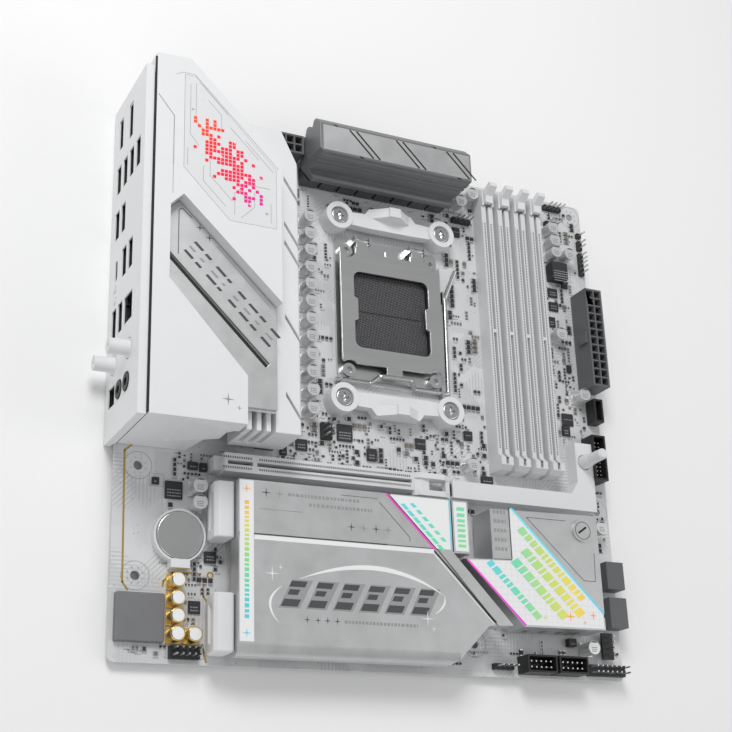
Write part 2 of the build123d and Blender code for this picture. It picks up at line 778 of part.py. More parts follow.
with BuildPart() as thermal_pads:
    pad_y = top_stage_spots[0][1]
    block(top_sink_x + 3.0, top_sink_end_x - 3.0, pad_y - 3.0, pad_y + 3.0,
          stage_height, sink_floor)
    pad_x = side_stage_spots[0][0]
    block(pad_x - 3.0, pad_x + 3.0, side_sink_bottom + 2.0, side_sink_corner_y,
          stage_height, sink_floor)
save(thermal_pads, "thermal_pads")

# ================================================================== capacitors
side_capacitors = [
    (side_capacitor_x, top - side_capacitor_top_drop - step * side_capacitor_pitch)
    for step in range(side_capacitor_count)
]
other_capacitors = [
    (memory_slot_x(0) - memory_width / 2 - 3.75, top - 8.8),
    (168.0, top - 14.0),
    (front - 22.4, top - 18.4),
    (front - 21.9, top - 25.3),
    (front - 21.7, top - 31.9),
    (front - 13.6, top - 31.8),
    (front - 22.9, top - 76.6),
    (front - 12.4, main_power_y - 3.4),
    (166.0, 94.6),
    (m2_latch_x - 4.4, battery_row_y),
    (m2_latch_x - 4.4, battery_row_y + 7.0),
    (front - 9.9, 70.3),
    (front - 20.3, 13.7),
]
audio_capacitors_at = [(26.2, 32.4), (26.2, 25.2), (26.2, 18.1), (26.2, 11.0), (33.4, 11.0)]


def can_capacitors(spots, height):
    """Round capacitors, each a can on a square base."""
    with BuildPart() as cans:
        pads(spots, capacitor_base, capacitor_base, 0.0, 1.0)
        posts(spots, capacitor_radius, 1.0, height)
        rims = cans.edges().filter_by(GeomType.CIRCLE).group_by(Axis.Z)[-1]
        fillet(rims, 0.4)
    return cans


save(can_capacitors(side_capacitors + other_capacitors, capacitor_height), "capacitors")
save(can_capacitors(audio_capacitors_at, audio_capacitor_height), "audio_capacitors")

# ================================================================== rear connectors
usb_ports_at = [
    (top - 37.8, 5.0), (top - 37.8, 14.2), (top - 37.8, 23.4), (top - 37.8, 32.6),
    (top - 59.6, 4.6), (top - 59.6, 13.4),
    (top - 81.4, 16.8), (top - 81.4, 25.6),
    (top - 105.5, 4.6), (top - 105.5, 13.4),
]
usb_stacks = [
    (top - 37.8, 0.0, 36.8),
    (top - 59.6, 0.0, 17.6),
    (top - 81.4, 12.6, 29.8),
    (top - 105.5, 0.0, 17.4),
]
hdmi_at = (top - 15.5, 6.4)
displayport_at = (top - 16.1, 20.8)
usb_c_at = (top - 81.4, 5.6)
lan_at = (top - 105.5, 24.6)
antenna_sockets_at = [(top - 124.3, 27.5), (top - 124.3, 6.5)]
jacks_at = [(top - 137.8, 25.5), (top - 137.8, 15.4)]
optical_at = (top - 137.8, 5.0)
buttons_at = {"flash_button": (top - 89.6, 5.0), "reset_button": (top - 95.0, 5.0)}
button_pin_radius = 1.5
lan_width = 15.6
lan_opening = 11.8
jack_housing_depth = 12.0

with BuildPart() as io_shield:
    block(shield_face, shield_face + shield_return, shield_bottom, top, shield_low, shield_high)
    block(shield_face + shield_thickness, shield_face + shield_return,
          shield_bottom + shield_thickness, top - shield_thickness,
          shield_low + shield_thickness, shield_high - shield_thickness, Mode.SUBTRACT)
    block(-0.5, shield_face + shield_return, shield_bottom, top, shield_low, 0.5, Mode.SUBTRACT)
    with BuildSketch(facing_front(shield_face)):
        with Locations(*usb_ports_at):
            Rectangle(usb_opening_width + 0.4, usb_opening_height + 0.4)
        with Locations(hdmi_at):
            Rectangle(15.0, 5.6)
        with Locations(displayport_at):
            Rectangle(17.0, 5.6)
        with Locations(usb_c_at):
            RectangleRounded(9.4, 3.6, 1.7)
        with Locations(lan_at):
            Rectangle(lan_opening + 0.4, 11.4)
        with Locations(*antenna_sockets_at):
            Circle(antenna_radius + gap)
        with Locations(*jacks_at):
            Circle(jack_radius + gap)
        with Locations(optical_at):
            Rectangle(8.6, 8.6)
        with Locations(*buttons_at.values()):
            Circle(button_pin_radius + gap)
    extrude(amount=shield_thickness, mode=Mode.SUBTRACT)
save(io_shield, "io_shield")

with BuildPart() as usb_ports:
    half = usb_opening_width / 2 + port_wall
    for y, low, high in usb_stacks:
        block(port_front, port_front + usb_depth, y - half, y + half, low, high)
    usb_c_y, usb_c_z = usb_c_at
    block(port_front, port_front + 9.0, usb_c_y - 5.1, usb_c_y + 5.1, usb_c_z - 2.3, usb_c_z + 2.3)
    block(port_front + 2.0, port_front + 8.0, usb_c_y - 4.0, usb_c_y + 4.0, 0.0, usb_c_z - 2.3)
    with BuildSketch(facing_front(port_front)) as mouths:
        with Locations(*usb_ports_at):
            Rectangle(usb_opening_width, usb_opening_height)
        with Locations(usb_c_at):
            RectangleRounded(9.0, 3.2, 1.5)
    extrude(mouths.sketch, amount=7.5, mode=Mode.SUBTRACT)
    with BuildSketch(facing_front(port_front)) as deep_mouths:
        with Locations(*usb_ports_at):
            Rectangle(usb_opening_width, usb_opening_height)
    extrude(deep_mouths.sketch, amount=usb_depth - 3.0, mode=Mode.SUBTRACT)
save(usb_ports, "usb_ports")

with BuildPart() as usb_tongues:
    with BuildSketch(facing_front(port_front + 2.0)):
        for y, z in usb_ports_at:
            with Locations((y, z + 0.9)):
                Rectangle(usb_opening_width - 1.4, usb_tongue_thickness)
    extrude(amount=usb_depth - 5.0)
    with BuildSketch(facing_front(port_front + 1.0)) as c_tongue:
        with Locations(usb_c_at):
            Rectangle(6.6, 0.7)
    extrude(c_tongue.sketch, amount=6.5)
save(usb_tongues, "usb_tongues")

with BuildPart() as video_ports:
    hdmi_y, hdmi_z = hdmi_at
    dp_y, dp_z = displayport_at
    block(port_front, port_front + 12.0, hdmi_y - 7.9, hdmi_y + 7.9, 0.0, hdmi_z + 3.2)
    block(port_front, port_front + 18.0, dp_y - 8.8, dp_y + 8.8, hdmi_z + 3.5, dp_z + 3.3)
    hdmi_mouth = [
        (hdmi_y - 7.0, hdmi_z + 2.2), (hdmi_y + 7.0, hdmi_z + 2.2), (hdmi_y + 7.0, hdmi_z - 0.6),
        (hdmi_y + 5.4, hdmi_z - 2.2), (hdmi_y - 5.4, hdmi_z - 2.2), (hdmi_y - 7.0, hdmi_z - 0.6),
    ]
    dp_mouth = [
        (dp_y - 8.1, dp_z + 2.4), (dp_y + 8.1, dp_z + 2.4), (dp_y + 8.1, dp_z - 2.4),
        (dp_y - 6.4, dp_z - 2.4), (dp_y - 8.1, dp_z - 0.7),
    ]
    profile_along_x(hdmi_mouth, port_front, port_front + 9.5, Mode.SUBTRACT)
    profile_along_x(dp_mouth, port_front, port_front + 10.0, Mode.SUBTRACT)
    block(port_front + 1.0, port_front + 10.0, hdmi_y - 5.5, hdmi_y + 5.5, hdmi_z - 0.2, hdmi_z + 0.8)
    block(port_front + 1.0, port_front + 10.5, dp_y - 6.4, dp_y + 6.4, dp_z - 0.2, dp_z + 0.8)
save(video_ports, "video_ports")

with BuildPart() as lan_port:
    lan_y, lan_z = lan_at
    block(port_front, port_front + usb_depth, lan_y - lan_width / 2, lan_y + lan_width / 2,
          17.7, lan_z + 6.6)
    block(port_front, port_front + 12.5, lan_y - lan_opening / 2, lan_y + lan_opening / 2,
          lan_z - 4.2, lan_z + 4.6, Mode.SUBTRACT)
    block(port_front, port_front + 6.0, lan_y - 3.0, lan_y + 3.0, lan_z - 5.6, lan_z, Mode.SUBTRACT)
save(lan_port, "lan_port")

with BuildPart() as antenna_sockets:
    with BuildSketch(facing_front(shield_face - antenna_reach)):
        with Locations(*antenna_sockets_at):
            Circle(antenna_radius - 1.0)
            Circle(0.6, mode=Mode.SUBTRACT)
    extrude(amount=antenna_reach)
    with BuildSketch(facing_front(shield_face)):
        with Locations(*antenna_sockets_at):
            Circle(antenna_radius)
    extrude(amount=4.0)
    with BuildSketch(facing_front(shield_face + 4.0)):
        with Locations(*antenna_sockets_at):
            Rectangle(7.0, 7.0)
    extrude(amount=6.0)
save(antenna_sockets, "antenna_sockets")

with BuildPart() as audio_jacks:
    jack_y = jacks_at[0][0]
    block(port_front, port_front + jack_housing_depth, jack_y - 6.0, jack_y + 6.0,
          optical_at[1] + 5.0, jacks_at[0][1] + 5.2)
    with BuildSketch(facing_front(shield_face - 0.4)) as collars:
        with Locations(*jacks_at):
            Circle(jack_radius)
    extrude(collars.sketch, amount=port_front - shield_face + 0.4)
    with BuildSketch(facing_front(shield_face - 0.4)) as bores:
        with Locations(*jacks_at):
            Circle(jack_bore)
    extrude(bores.sketch, amount=11.0, mode=Mode.SUBTRACT)
save(audio_jacks, "audio_jacks")

with BuildPart() as optical_port:
    optical_y, optical_z = optical_at
    block(port_front, port_front + jack_housing_depth, optical_y - 5.4, optical_y + 5.4,
          0.0, optical_z + 4.8)
    block(port_front, port_front + 1.2, optical_y - 3.9, optical_y + 3.9,
          optical_z - 3.9, optical_z + 3.9, Mode.SUBTRACT)
save(optical_port, "optical_port")


def push_button(spot):
    """Round push button with a flange behind the shield."""
    with BuildPart() as button:
        with BuildSketch(facing_front(shield_face - 0.3)) as stem:
            with Locations(spot):
                Circle(button_pin_radius)
        extrude(stem.sketch, amount=7.0)
        with BuildSketch(facing_front(shield_face + shield_thickness + 0.2)) as flange:
            with Locations(spot):
                Circle(button_pin_radius + 0.7)
        extrude(flange.sketch, amount=0.8)
    return button


for name, spot in buttons_at.items():
    save(push_button(spot), name)

# Outline of the whole shroud, of its silver panel and of its window, seen from above.
shroud_outline = [
    (shroud_rear, top - 155.5),
    (41.9, top - 155.5),
    (41.9, top - 146.2),
    (shroud_front, top - 146.2),
    (shroud_front, top - 33.9),
    (39.8, top - 16.2),
    (16.2, top + shroud_overhang + 0.6),
    (shroud_rear, top + shroud_overhang),
]
panel_outline = [
    (8.2, top - 97.3),
    (8.2, top - 64.2),
    (13.8, top - 58.6),
    (shroud_front, top - 100.7),
    (shroud_front, top - 146.2),
    (41.9, top - 146.2),
    (41.9, top - 135.0),
]
window_outline = [
    (13.5, top - 1.5),
    (13.5, top - 46.0),
    (34.0, top - 67.0),
    (55.0, top - 67.0),
    (55.0, top - 39.0),
    (18.1, top - 1.5),
]
shroud_low = shelf_height - 2.0
light_board_thickness = 1.2
light_board_low = shroud_height - shroud_wall - 1.6 - light_board_thickness

with BuildPart() as io_shroud:
    slab(shroud_outline, shroud_low, shroud_height)
    with BuildSketch(plan(shroud_low)) as hollow:
        with BuildLine():
            Polyline(*shroud_outline, close=True)
        make_face()
        offset(amount=-shroud_wall, kind=Kind.INTERSECTION)
    extrude(hollow.sketch, amount=shroud_height - shroud_wall - shroud_low, mode=Mode.SUBTRACT)
    with BuildSketch(plan(shroud_low)) as whole:
        with BuildLine():
            Polyline(*shroud_outline, close=True)
        make_face()
    with BuildSketch(plan(shroud_low)) as step_wall:
        with BuildLine():
            Polyline(*panel_outline, close=True)
        make_face()
        offset(amount=1.6, kind=Kind.INTERSECTION)
        add(whole.sketch_local, mode=Mode.INTERSECT)
    extrude(step_wall.sketch, amount=shroud_height - shroud_wall - shroud_low)
    slab(panel_outline, shelf_height, shroud_height, Mode.SUBTRACT)
    # The rear side is open below the rim, where the connectors stand.
    block(shroud_rear, shroud_rear + shroud_wall, shield_bottom + 2.5, top - 3.0,
          shroud_low, shroud_height - shroud_wall - 1.8, Mode.SUBTRACT)
    # Rebate and opening for the window.
    with BuildSketch(plan(shroud_height - window_thickness)) as rebate:
        with BuildLine():
            Polyline(*window_outline, close=True)
        make_face()
        offset(amount=seat_clearance, kind=Kind.INTERSECTION)
    extrude(rebate.sketch, amount=window_thickness, mode=Mode.SUBTRACT)
    with BuildSketch(plan(shroud_height - shroud_wall)) as opening:
        with BuildLine():
            Polyline(*window_outline, close=True)
        make_face()
        offset(amount=-1.5, kind=Kind.INTERSECTION)
    extrude(opening.sketch, amount=shroud_wall, mode=Mode.SUBTRACT)
    # End walls down to the board.
    end_wall = [
        (shroud_rear, gap), (30.0, gap), (31.0, 8.0), (33.0, 23.0), (41.9, shroud_low + 2.0),
        (shroud_rear, shroud_low + 2.0),
    ]
    profile_along_y(end_wall, top - 155.5, top - 155.5 + shroud_wall)
    block(shroud_rear, 17.0, top - 0.6 - shroud_wall, top - 0.6, gap, shroud_low + 2.0)
    # Bosses that hold the light board under the window.
    posts([(11.0, top - 40.0), (11.0, top - 20.0), (42.0, top - 70.0), (24.0, top - 11.0)], 1.4,
          light_board_low + light_board_thickness, shroud_height - shroud_wall)
save(io_shroud, "io_shroud")

with BuildPart() as shroud_window:
    slab(window_outline, shroud_height - window_thickness, shroud_height)
save(shroud_window, "shroud_window")

with BuildPart() as shroud_panel:
    with BuildSketch(plan(shelf_height)) as panel:
        with BuildLine():
            Polyline(*panel_outline, close=True)
        make_face()
        offset(amount=-seat_clearance, kind=Kind.INTERSECTION)
    extrude(panel.sketch, amount=panel_thickness)
    slab([(6.5, top - 82.0), (52.5, top - 127.6), (53.9, top - 126.2), (7.9, top - 80.6)],
         shelf_height + 0.8, shelf_height + panel_thickness, Mode.SUBTRACT)
save(shroud_panel, "shroud_panel")

with BuildPart() as light_board:
    slab([(9.5, top - 8.0), (9.5, top - 46.0), (32.0, top - 71.5), (53.0, top - 71.5),
          (53.0, top - 34.0), (26.0, top - 8.0)],
         light_board_low, light_board_low + light_board_thickness)
save(light_board, "light_board")

# ================================================================== expansion slot
pcie_low = pcie_y - pcie_width / 2
pcie_high = pcie_y + pcie_width / 2
pcie_end = pcie_x + pcie_length

with BuildPart() as pcie_slot:
    block(pcie_x, pcie_end, pcie_low, pcie_high, 0.0, pcie_height)
    block(pcie_x - pcie_foot, pcie_x, pcie_low + 1.0, pcie_high - 1.0, 0.0, pcie_height - 3.0)
    key_low = pcie_x + pcie_key_x
    for low, high in ((pcie_x + 1.4, key_low), (key_low + pcie_key_width, pcie_end - 1.2)):
        block(low, high, pcie_y - pcie_groove / 2, pcie_y + pcie_groove / 2,
              pcie_groove_floor, pcie_height, Mode.SUBTRACT)
save(pcie_slot, "pcie_slot")

latch_start = pcie_end + 0.6
latch_end = latch_start + pcie_latch_length
latch_pivot_x = latch_start + 4.0
latch_pivot_height = 2.2

with BuildPart() as pcie_latch:
    outline = [
        (latch_start, 1.2), (latch_start + 1.4, 0.6), (latch_pivot_x + 2.0, 0.6),
        (latch_end, 4.6), (latch_end, 7.0), (latch_start + 16.0, 9.2),
        (latch_start + 3.0, 9.2), (latch_start, 7.0),
    ]
    for side in (-1, 1):
        edge = pcie_y + side * (pcie_latch_width / 2 - 1.3)
        profile_along_y(outline, edge - 1.3, edge + 1.3)
    middle_outline = [
        (latch_start, 1.2), (latch_start + 1.4, 0.6), (latch_pivot_x + 2.0, 0.6),
        (latch_start + 9.0, 2.2), (latch_start + 9.0, 7.4), (latch_start + 4.0, 8.4),
        (latch_start, 7.0),
    ]
    profile_along_y(middle_outline, pcie_y - pcie_latch_width / 2, pcie_y + pcie_latch_width / 2)
    profile_along_y([(latch_end - 2.6, 4.2), (latch_end, 4.6),
                     (latch_end, 7.0), (latch_end - 2.6, 8.0)],
                    pcie_y - pcie_latch_width / 2, pcie_y + pcie_latch_width / 2)
save(pcie_latch, "pcie_latch")

rail_x = latch_start + pcie_latch_length + latch_rail_gap
rail_end = front - rail_front_inset
rail_low = pcie_y - 4.6
rail_high = pcie_y + 3.4
leg_x = rail_end - rail_leg
leg_top = 111.0
button_spot = (rail_end - rail_leg / 2, 101.5)
slider_travel = 3.0

with BuildPart() as release_rail:
    slab([(rail_x, rail_low), (rail_end, rail_low), (rail_end, leg_top), (leg_x, leg_top),
          (leg_x, 91.5), (leg_x - 4.0, rail_high), (rail_x, rail_high)], 0.0, rail_height)
    block(rail_x, rail_end - rail_wall, rail_low + rail_wall, rail_high - rail_wall,
          0.0, rail_height - rail_wall, Mode.SUBTRACT)
    block(leg_x + rail_wall, rail_end - rail_wall, rail_low + rail_wall, leg_top - rail_wall,
          0.0, rail_height - rail_wall, Mode.SUBTRACT)
    posts([button_spot], button_radius + gap, 0.0, rail_height, Mode.SUBTRACT)
save(release_rail, "release_rail")

with BuildPart() as release_slider:
    block(rail_x + rail_wall + slider_travel + gap, rail_end - 4.0,
          pcie_y - 2.2, pcie_y + 1.0, 1.0, 5.0)
save(release_slider, "release_slider")

with BuildPart() as release_button:
    with BuildSketch(facing_bottom(button_spot[1])):
        with BuildLine():
            Polyline((button_spot[0], 5.0), (button_spot[0] + button_radius, 5.0),
                     (button_spot[0] + button_radius, 10.0), (button_spot[0] + 3.0, 13.0),
                     (button_spot[0] + 2.7, 14.0), (button_spot[0] + 2.6, button_tip_height - 1.0),
                     (button_spot[0] + 1.9, button_tip_height), (button_spot[0], button_tip_height),
                     close=True)
        make_face()
    revolve(axis=Axis((button_spot[0] - datum_from_rear, button_spot[1] - datum_from_bottom, 0),
                      (0, 0, 1)), revolution_arc=360)
save(release_button, "release_button")

# ================================================================== drive covers
cover_outline = [
    (cover_x, cover_bottom),
    (145.0, cover_bottom),
    (cover_nose_x, 4.0),
    (163.0, 18.9),
    (175.4, 19.6),
    (147.4, 49.6),
    (155.6, 49.9),
    (155.6, cover_top),
    (cover_x, cover_top),
]
chipset_outline = [
    (181.2, 19.4),
    (224.1, 19.9),
    (224.3, 72.6),
    (167.0, 71.2),
    (167.0, 48.4),
    (153.4, 47.9),
]

cover_posts_at = [(51.4, 60.0), (51.4, 12.0), (150.0, 62.0), (142.0, 9.0)]

with BuildPart() as m2_cover:
    slab(cover_outline, cover_floor, cover_height)
    slab([(cover_x, 49.4), (115.0, 49.4), (115.0, 51.2), (cover_x, 51.2)],
         cover_height - 0.6, cover_height, Mode.SUBTRACT)
    slab([(115.4, cover_top), (117.2, cover_top), (139.4, 51.2), (137.0, 51.2)],
         cover_height - 0.8, cover_height, Mode.SUBTRACT)
    slab([(137.0, 51.2), (139.4, 51.2), (168.0, 19.2), (165.6, 19.0)],
         cover_height - 0.8, cover_height, Mode.SUBTRACT)
    # Rolled lower edge.
    with BuildSketch(facing_front(cover_x)) as roll:
        with BuildLine():
            Line((cover_bottom, cover_height), (cover_bottom + cover_roll, cover_height))
            RadiusArc((cover_bottom + cover_roll, cover_height),
                      (cover_bottom, cover_height - cover_roll), -cover_roll)
            Line((cover_bottom, cover_height - cover_roll), (cover_bottom, cover_height))
        make_face()
    extrude(roll.sketch, amount=cover_nose_x - cover_x, mode=Mode.SUBTRACT)
    posts(cover_posts_at, 3.0, 0.0, cover_floor)
save(m2_cover, "m2_cover")

with BuildPart() as chipset_heatsink:
    slab(chipset_outline, 2.0, cover_height)
    posts([(215.6, 64.9)], 5.2, cover_height, cover_height + 1.0)
    with BuildSketch(plan(cover_height - 0.6)) as line_cut:
        with BuildLine():
            Polyline((176.2, 71.4), (178.4, 71.6), (224.2, 27.6), (224.2, 25.2), close=True)
        make_face()
    extrude(line_cut.sketch, amount=0.6, mode=Mode.SUBTRACT)
    for step in range(4):
        channel = 186.0 + step * 9.0
        block(channel, channel + 3.0, 15.0, 28.0, 2.0, 9.0, Mode.SUBTRACT)
save(chipset_heatsink, "chipset_heatsink")

m2_sockets_at = [(58.5, 30.0), (58.5, 62.0)]

with BuildPart() as m2_sockets:
    for x, y in m2_sockets_at:
        block(x - 3.0, x + 3.0, y - 11.0, y + 11.0, 0.0, 4.2)
        block(x - 1.0, x + 3.0, y - 10.0, y + 10.0, 1.6, 2.8, Mode.SUBTRACT)
save(m2_sockets, "m2_sockets")

m2_latch_spots = {"m2_latch_upper": (49.5, 73.0), "m2_latch_lower": (3.5, 27.0)}


def m2_latch(low, high):
    """Release latch beside the drive cover: a rocking block on a narrow foot."""
    with BuildPart() as latch:
        outline = [
            (m2_latch_x + 1.8, 0.6), (m2_latch_x + m2_latch_width - 0.8, 0.6),
            (m2_latch_x + m2_latch_width, 3.0), (m2_latch_x + m2_latch_width, 13.0),
            (m2_latch_x + m2_latch_width - 1.0, 14.0), (m2_latch_x + 1.4, 14.0),
            (m2_latch_x, 12.0), (m2_latch_x, 4.0),
        ]
        profile_along_y(outline, low, high)
        block(m2_latch_x - 1.0, m2_latch_x + 2.0, low + 4.0, high - 4.0, 6.0, 10.0, Mode.SUBTRACT)
    return latch


for name, (low, high) in m2_latch_spots.items():
    save(m2_latch(low, high), name)

# ================================================================== battery
battery_seat = 1.6

with BuildPart() as battery_holder:
    posts([(battery_x, battery_y)], battery_radius + battery_wall, 0.0, 4.0)
    block(battery_x - 4.0, battery_x + 4.0, battery_y - battery_radius - 3.6,
          battery_y - battery_radius, 0.0, 5.4)
    posts([(battery_x, battery_y)], battery_radius + seat_clearance, battery_seat, 6.0,
          Mode.SUBTRACT)
save(battery_holder, "battery_holder")

with BuildPart() as battery:
    posts([(battery_x, battery_y)], battery_radius, battery_seat, battery_seat + battery_thickness)
    fillet(battery.edges().group_by(Axis.Z)[-1], 0.6)
save(battery, "battery")

# ================================================================== drive and front connectors
sata_width = 9.6
sata_low_edges = [(41.2, 54.0), (23.4, 37.2)]

with BuildPart() as sata_ports:
    for low, high in sata_low_edges:
        sata_x = front - 0.2 - sata_width
        block(sata_x, front - 0.2, low, high, 0.0, 8.2)
        for floor in (1.4, 5.0):
            block(front - 6.4, front, low + 1.2, high - 1.2, floor, floor + 2.0, Mode.SUBTRACT)
save(sata_ports, "sata_ports")

with BuildPart() as audio_shield:
    block(1.8, 21.9, 7.8, 27.2, 0.0, 3.0)
    fillet(audio_shield.edges().filter_by(Axis.Z), 0.8)
    fillet(audio_shield.edges().group_by(Axis.Z)[-1], 0.5)
save(audio_shield, "audio_shield")

# Chips: middle x, middle y, width, length, height.
chips_at = [
    (25.4, 70.7, 7.4, 7.4, 1.0),
    (34.9, 22.8, 5.0, 5.0, 0.9),
    (41.4, 43.6, 5.0, 4.6, 1.4),
    (17.6, 74.0, 3.0, 3.0, 0.8),
    (33.4, 81.8, 4.2, 3.2, 1.6),
    (38.0, 81.6, 3.0, 3.6, 1.4),
    (74.5, 93.0, 3.0, 4.0, 1.2),
    (83.2, 96.6, 5.4, 5.0, 1.0),
    (104.2, 104.4, 7.4, 7.6, 1.2),
    (117.3, 95.6, 4.6, 5.6, 1.4),
    (176.6, 89.6, 6.0, 3.6, 1.4),
    (front - 21.3, top - 51.9, 5.4, 4.6, 1.0),
    (front - 21.4, top - 59.4, 5.2, 4.6, 1.0),
    (front - 23.2, top - 68.0, 3.8, 5.2, 1.0),
    (main_power_x - 3.3, top - 46.8, 3.4, 2.6, 1.0),
    (front - 20.5, top - 124.8, 4.0, 5.0, 1.4),
    (front - 28.5, 16.4, 4.0, 3.6, 3.2),
    (main_power_x - 5.1, top - 92.0, 2.4, 3.8, 1.2),
]
input_choke = (front - 19.3, top - 41.3, 9.0, 9.0, 6.0)

with BuildPart() as chips:
    for x, y, width, length, height in chips_at + [input_choke]:
        block(x - width / 2, x + width / 2, y - length / 2, y + length / 2, 0.0, height)
save(chips, "chips")

# Pin headers: first pin x, first pin y, columns along X, rows along Y, socket wall or none.
pin_pitch = 2.54
open_headers = [
    (25.6, 3.1, 5, 2),
    (174.6, 4.4, 4, 1),
    (front - 19.4, 3.2, 8, 2),
    (93.6, 101.4, 2, 3),
    (166.9, top - 22.0, 4, 1),
    (front - 21.8, top - 4.2, 4, 1),
    (front - 21.8, top - 13.6, 3, 1),
    (front - 9.6, 11.6, 1, 4),
]
edge_headers = [
    (front - 2.6, top - 38.2, 1, 3),
    (front - 2.6, top - 31.0, 1, 2),
    (front - 2.6, top - 24.0, 1, 2),
    (front - 2.6, top - 17.0, 1, 1),
]
shrouded_headers = [
    (189.4, 4.0, 5, 2),
    (206.0, 4.0, 5, 2),
]


def header_pins_of(header):
    """Places of the pins of one header."""
    x, y, columns, rows = header
    return [(x + column * pin_pitch, y + row * pin_pitch)
            for column in range(columns) for row in range(rows)]


def header_block_of(header, margin, low, high, mode=Mode.ADD):
    """Plastic body around the pins of one header, worked into the open part."""
    x, y, columns, rows = header
    block(x - margin, x + (columns - 1) * pin_pitch + margin,
          y - margin, y + (rows - 1) * pin_pitch + margin, low, high, mode)


usb3_x = front - 11.6
usb3_low = top - 150.4
usb3_high = top - 128.0
usb3_pins = [(usb3_x + 2.8 + row * 2.0, usb3_low + 3.0 + column * 2.0)
             for row in range(2) for column in range(9)]
front_usb_c = (front - 7.0, front - 1.8, top - 120.2, top - 108.4)

with BuildPart() as header_blocks:
    for header in open_headers:
        header_block_of(header, pin_pitch / 2, 0.0, 2.5)
    for header in edge_headers:
        header_block_of(header, pin_pitch / 2, 0.0, 2.0)
    for header in shrouded_headers:
        header_block_of(header, 2.6, 0.0, 9.0)
        header_block_of(header, 1.8, 2.0, 9.0, Mode.SUBTRACT)
    block(usb3_x, usb3_x + 7.6, usb3_low, usb3_high, 0.0, 9.0)
    block(usb3_x + 1.0, usb3_x + 6.6, usb3_low + 1.0, usb3_high - 1.0, 2.0, 9.0, Mode.SUBTRACT)
    block(*front_usb_c, 0.0, 7.0)
    block(front_usb_c[0] + 1.0, front_usb_c[1] - 1.0, front_usb_c[2] + 1.0, front_usb_c[3] - 1.0,
          2.0, 7.0, Mode.SUBTRACT)
    fan_x, fan_y = open_headers[-1][:2]
    block(fan_x - 3.0, fan_x + 3.0, fan_y - 2.2, fan_y + 3 * pin_pitch + 2.2, 2.5, 3.5)
save(header_blocks, "header_blocks")

header_spots = [spot for header in open_headers + edge_headers + shrouded_headers
                for spot in header_pins_of(header)]

# Pins stand on the bodies that carry them, and their soldered tips show under the board.
with BuildPart() as connector_pins:
    pads(main_power_spots + cpu_power_spots, 1.1, 1.1, cavity_floor, cavity_floor + 7.0)
    for header in open_headers[:-1]:
        pads(header_pins_of(header), pin_width, pin_width, 2.5, 8.5)
    pads(header_pins_of(open_headers[-1]), pin_width, pin_width, 3.5, 9.0)
    for header in edge_headers:
        pads(header_pins_of(header), pin_width, pin_width, 2.0, 7.0)
    for header in shrouded_headers:
        pads(header_pins_of(header), pin_width, pin_width, 2.0, 7.6)
    pads(usb3_pins, 0.5, 0.5, 2.0, 7.0)
    pads(header_spots, 1.2, 1.2, -board_thickness - solder_tip, -board_thickness)
    pads(main_power_spots + cpu_power_spots, 2.0, 2.0, -board_thickness - solder_tip,
         -board_thickness)
save(connector_pins, "connector_pins")

with BuildPart() as cover_screws:
    posts(cover_posts_at, 2.6, -board_thickness - 1.4, -board_thickness)
save(cover_screws, "cover_screws")
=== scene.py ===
"""Motherboard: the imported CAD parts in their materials, with the printed lines, small
components and fine pieces that the design leaves out. Metres, in the CAD's own frame.
Places on the board are given in millimetres from its rear edge and its bottom edge, and
heights from its upper face."""

import math
import random

import bmesh
import bpy
from mathutils import Matrix, Vector
from mathutils.bvhtree import BVHTree


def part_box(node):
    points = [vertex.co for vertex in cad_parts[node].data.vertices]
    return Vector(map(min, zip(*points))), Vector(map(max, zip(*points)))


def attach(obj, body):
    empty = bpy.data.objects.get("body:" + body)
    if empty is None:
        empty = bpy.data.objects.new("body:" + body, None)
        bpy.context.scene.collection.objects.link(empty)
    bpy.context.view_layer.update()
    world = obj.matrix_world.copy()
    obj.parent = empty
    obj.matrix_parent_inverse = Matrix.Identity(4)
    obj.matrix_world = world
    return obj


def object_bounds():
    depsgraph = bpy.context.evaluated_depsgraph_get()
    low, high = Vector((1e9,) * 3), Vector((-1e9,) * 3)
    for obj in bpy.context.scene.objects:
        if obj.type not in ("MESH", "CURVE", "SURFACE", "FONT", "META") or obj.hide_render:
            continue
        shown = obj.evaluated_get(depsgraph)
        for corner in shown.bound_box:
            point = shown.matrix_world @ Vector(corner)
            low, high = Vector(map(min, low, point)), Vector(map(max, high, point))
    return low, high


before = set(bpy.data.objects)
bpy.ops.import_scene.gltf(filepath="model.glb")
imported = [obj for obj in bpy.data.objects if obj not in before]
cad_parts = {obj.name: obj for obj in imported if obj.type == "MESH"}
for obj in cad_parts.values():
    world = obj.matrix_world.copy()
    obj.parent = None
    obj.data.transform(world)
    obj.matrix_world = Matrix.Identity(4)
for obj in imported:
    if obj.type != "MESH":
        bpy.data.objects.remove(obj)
cad_low, cad_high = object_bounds()

MM = 0.001
random.seed(11)

board_low, board_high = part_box("pcb")
board_width = (board_high.x - board_low.x) / MM
board_length = (board_high.y - board_low.y) / MM
board_thickness = (board_high.z - board_low.z) / MM


def spot(x, y, z=0.0):
    """A point over the board, from board millimetres to the frame's metres."""
    return Vector((board_low.x + x * MM, board_low.y + y * MM, board_high.z + z * MM))


def extent(node):
    """Lowest and highest corner of a CAD node, in board millimetres."""
    low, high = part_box(node)
    zero = spot(0, 0)
    return (low - zero) / MM, (high - zero) / MM


# ------------------------------------------------------------------ materials
def shader_of(name, color, roughness, metallic=0.0):
    """A material with its Principled shader, and the tree's nodes and links."""
    made = bpy.data.materials.new(name)
    made.use_nodes = True
    nodes = made.node_tree.nodes
    shader = nodes["Principled BSDF"]
    shader.inputs["Base Color"].default_value = (*color, 1.0)
    shader.inputs["Roughness"].default_value = roughness
    shader.inputs["Metallic"].default_value = metallic
    return made, nodes, made.node_tree.links, shader


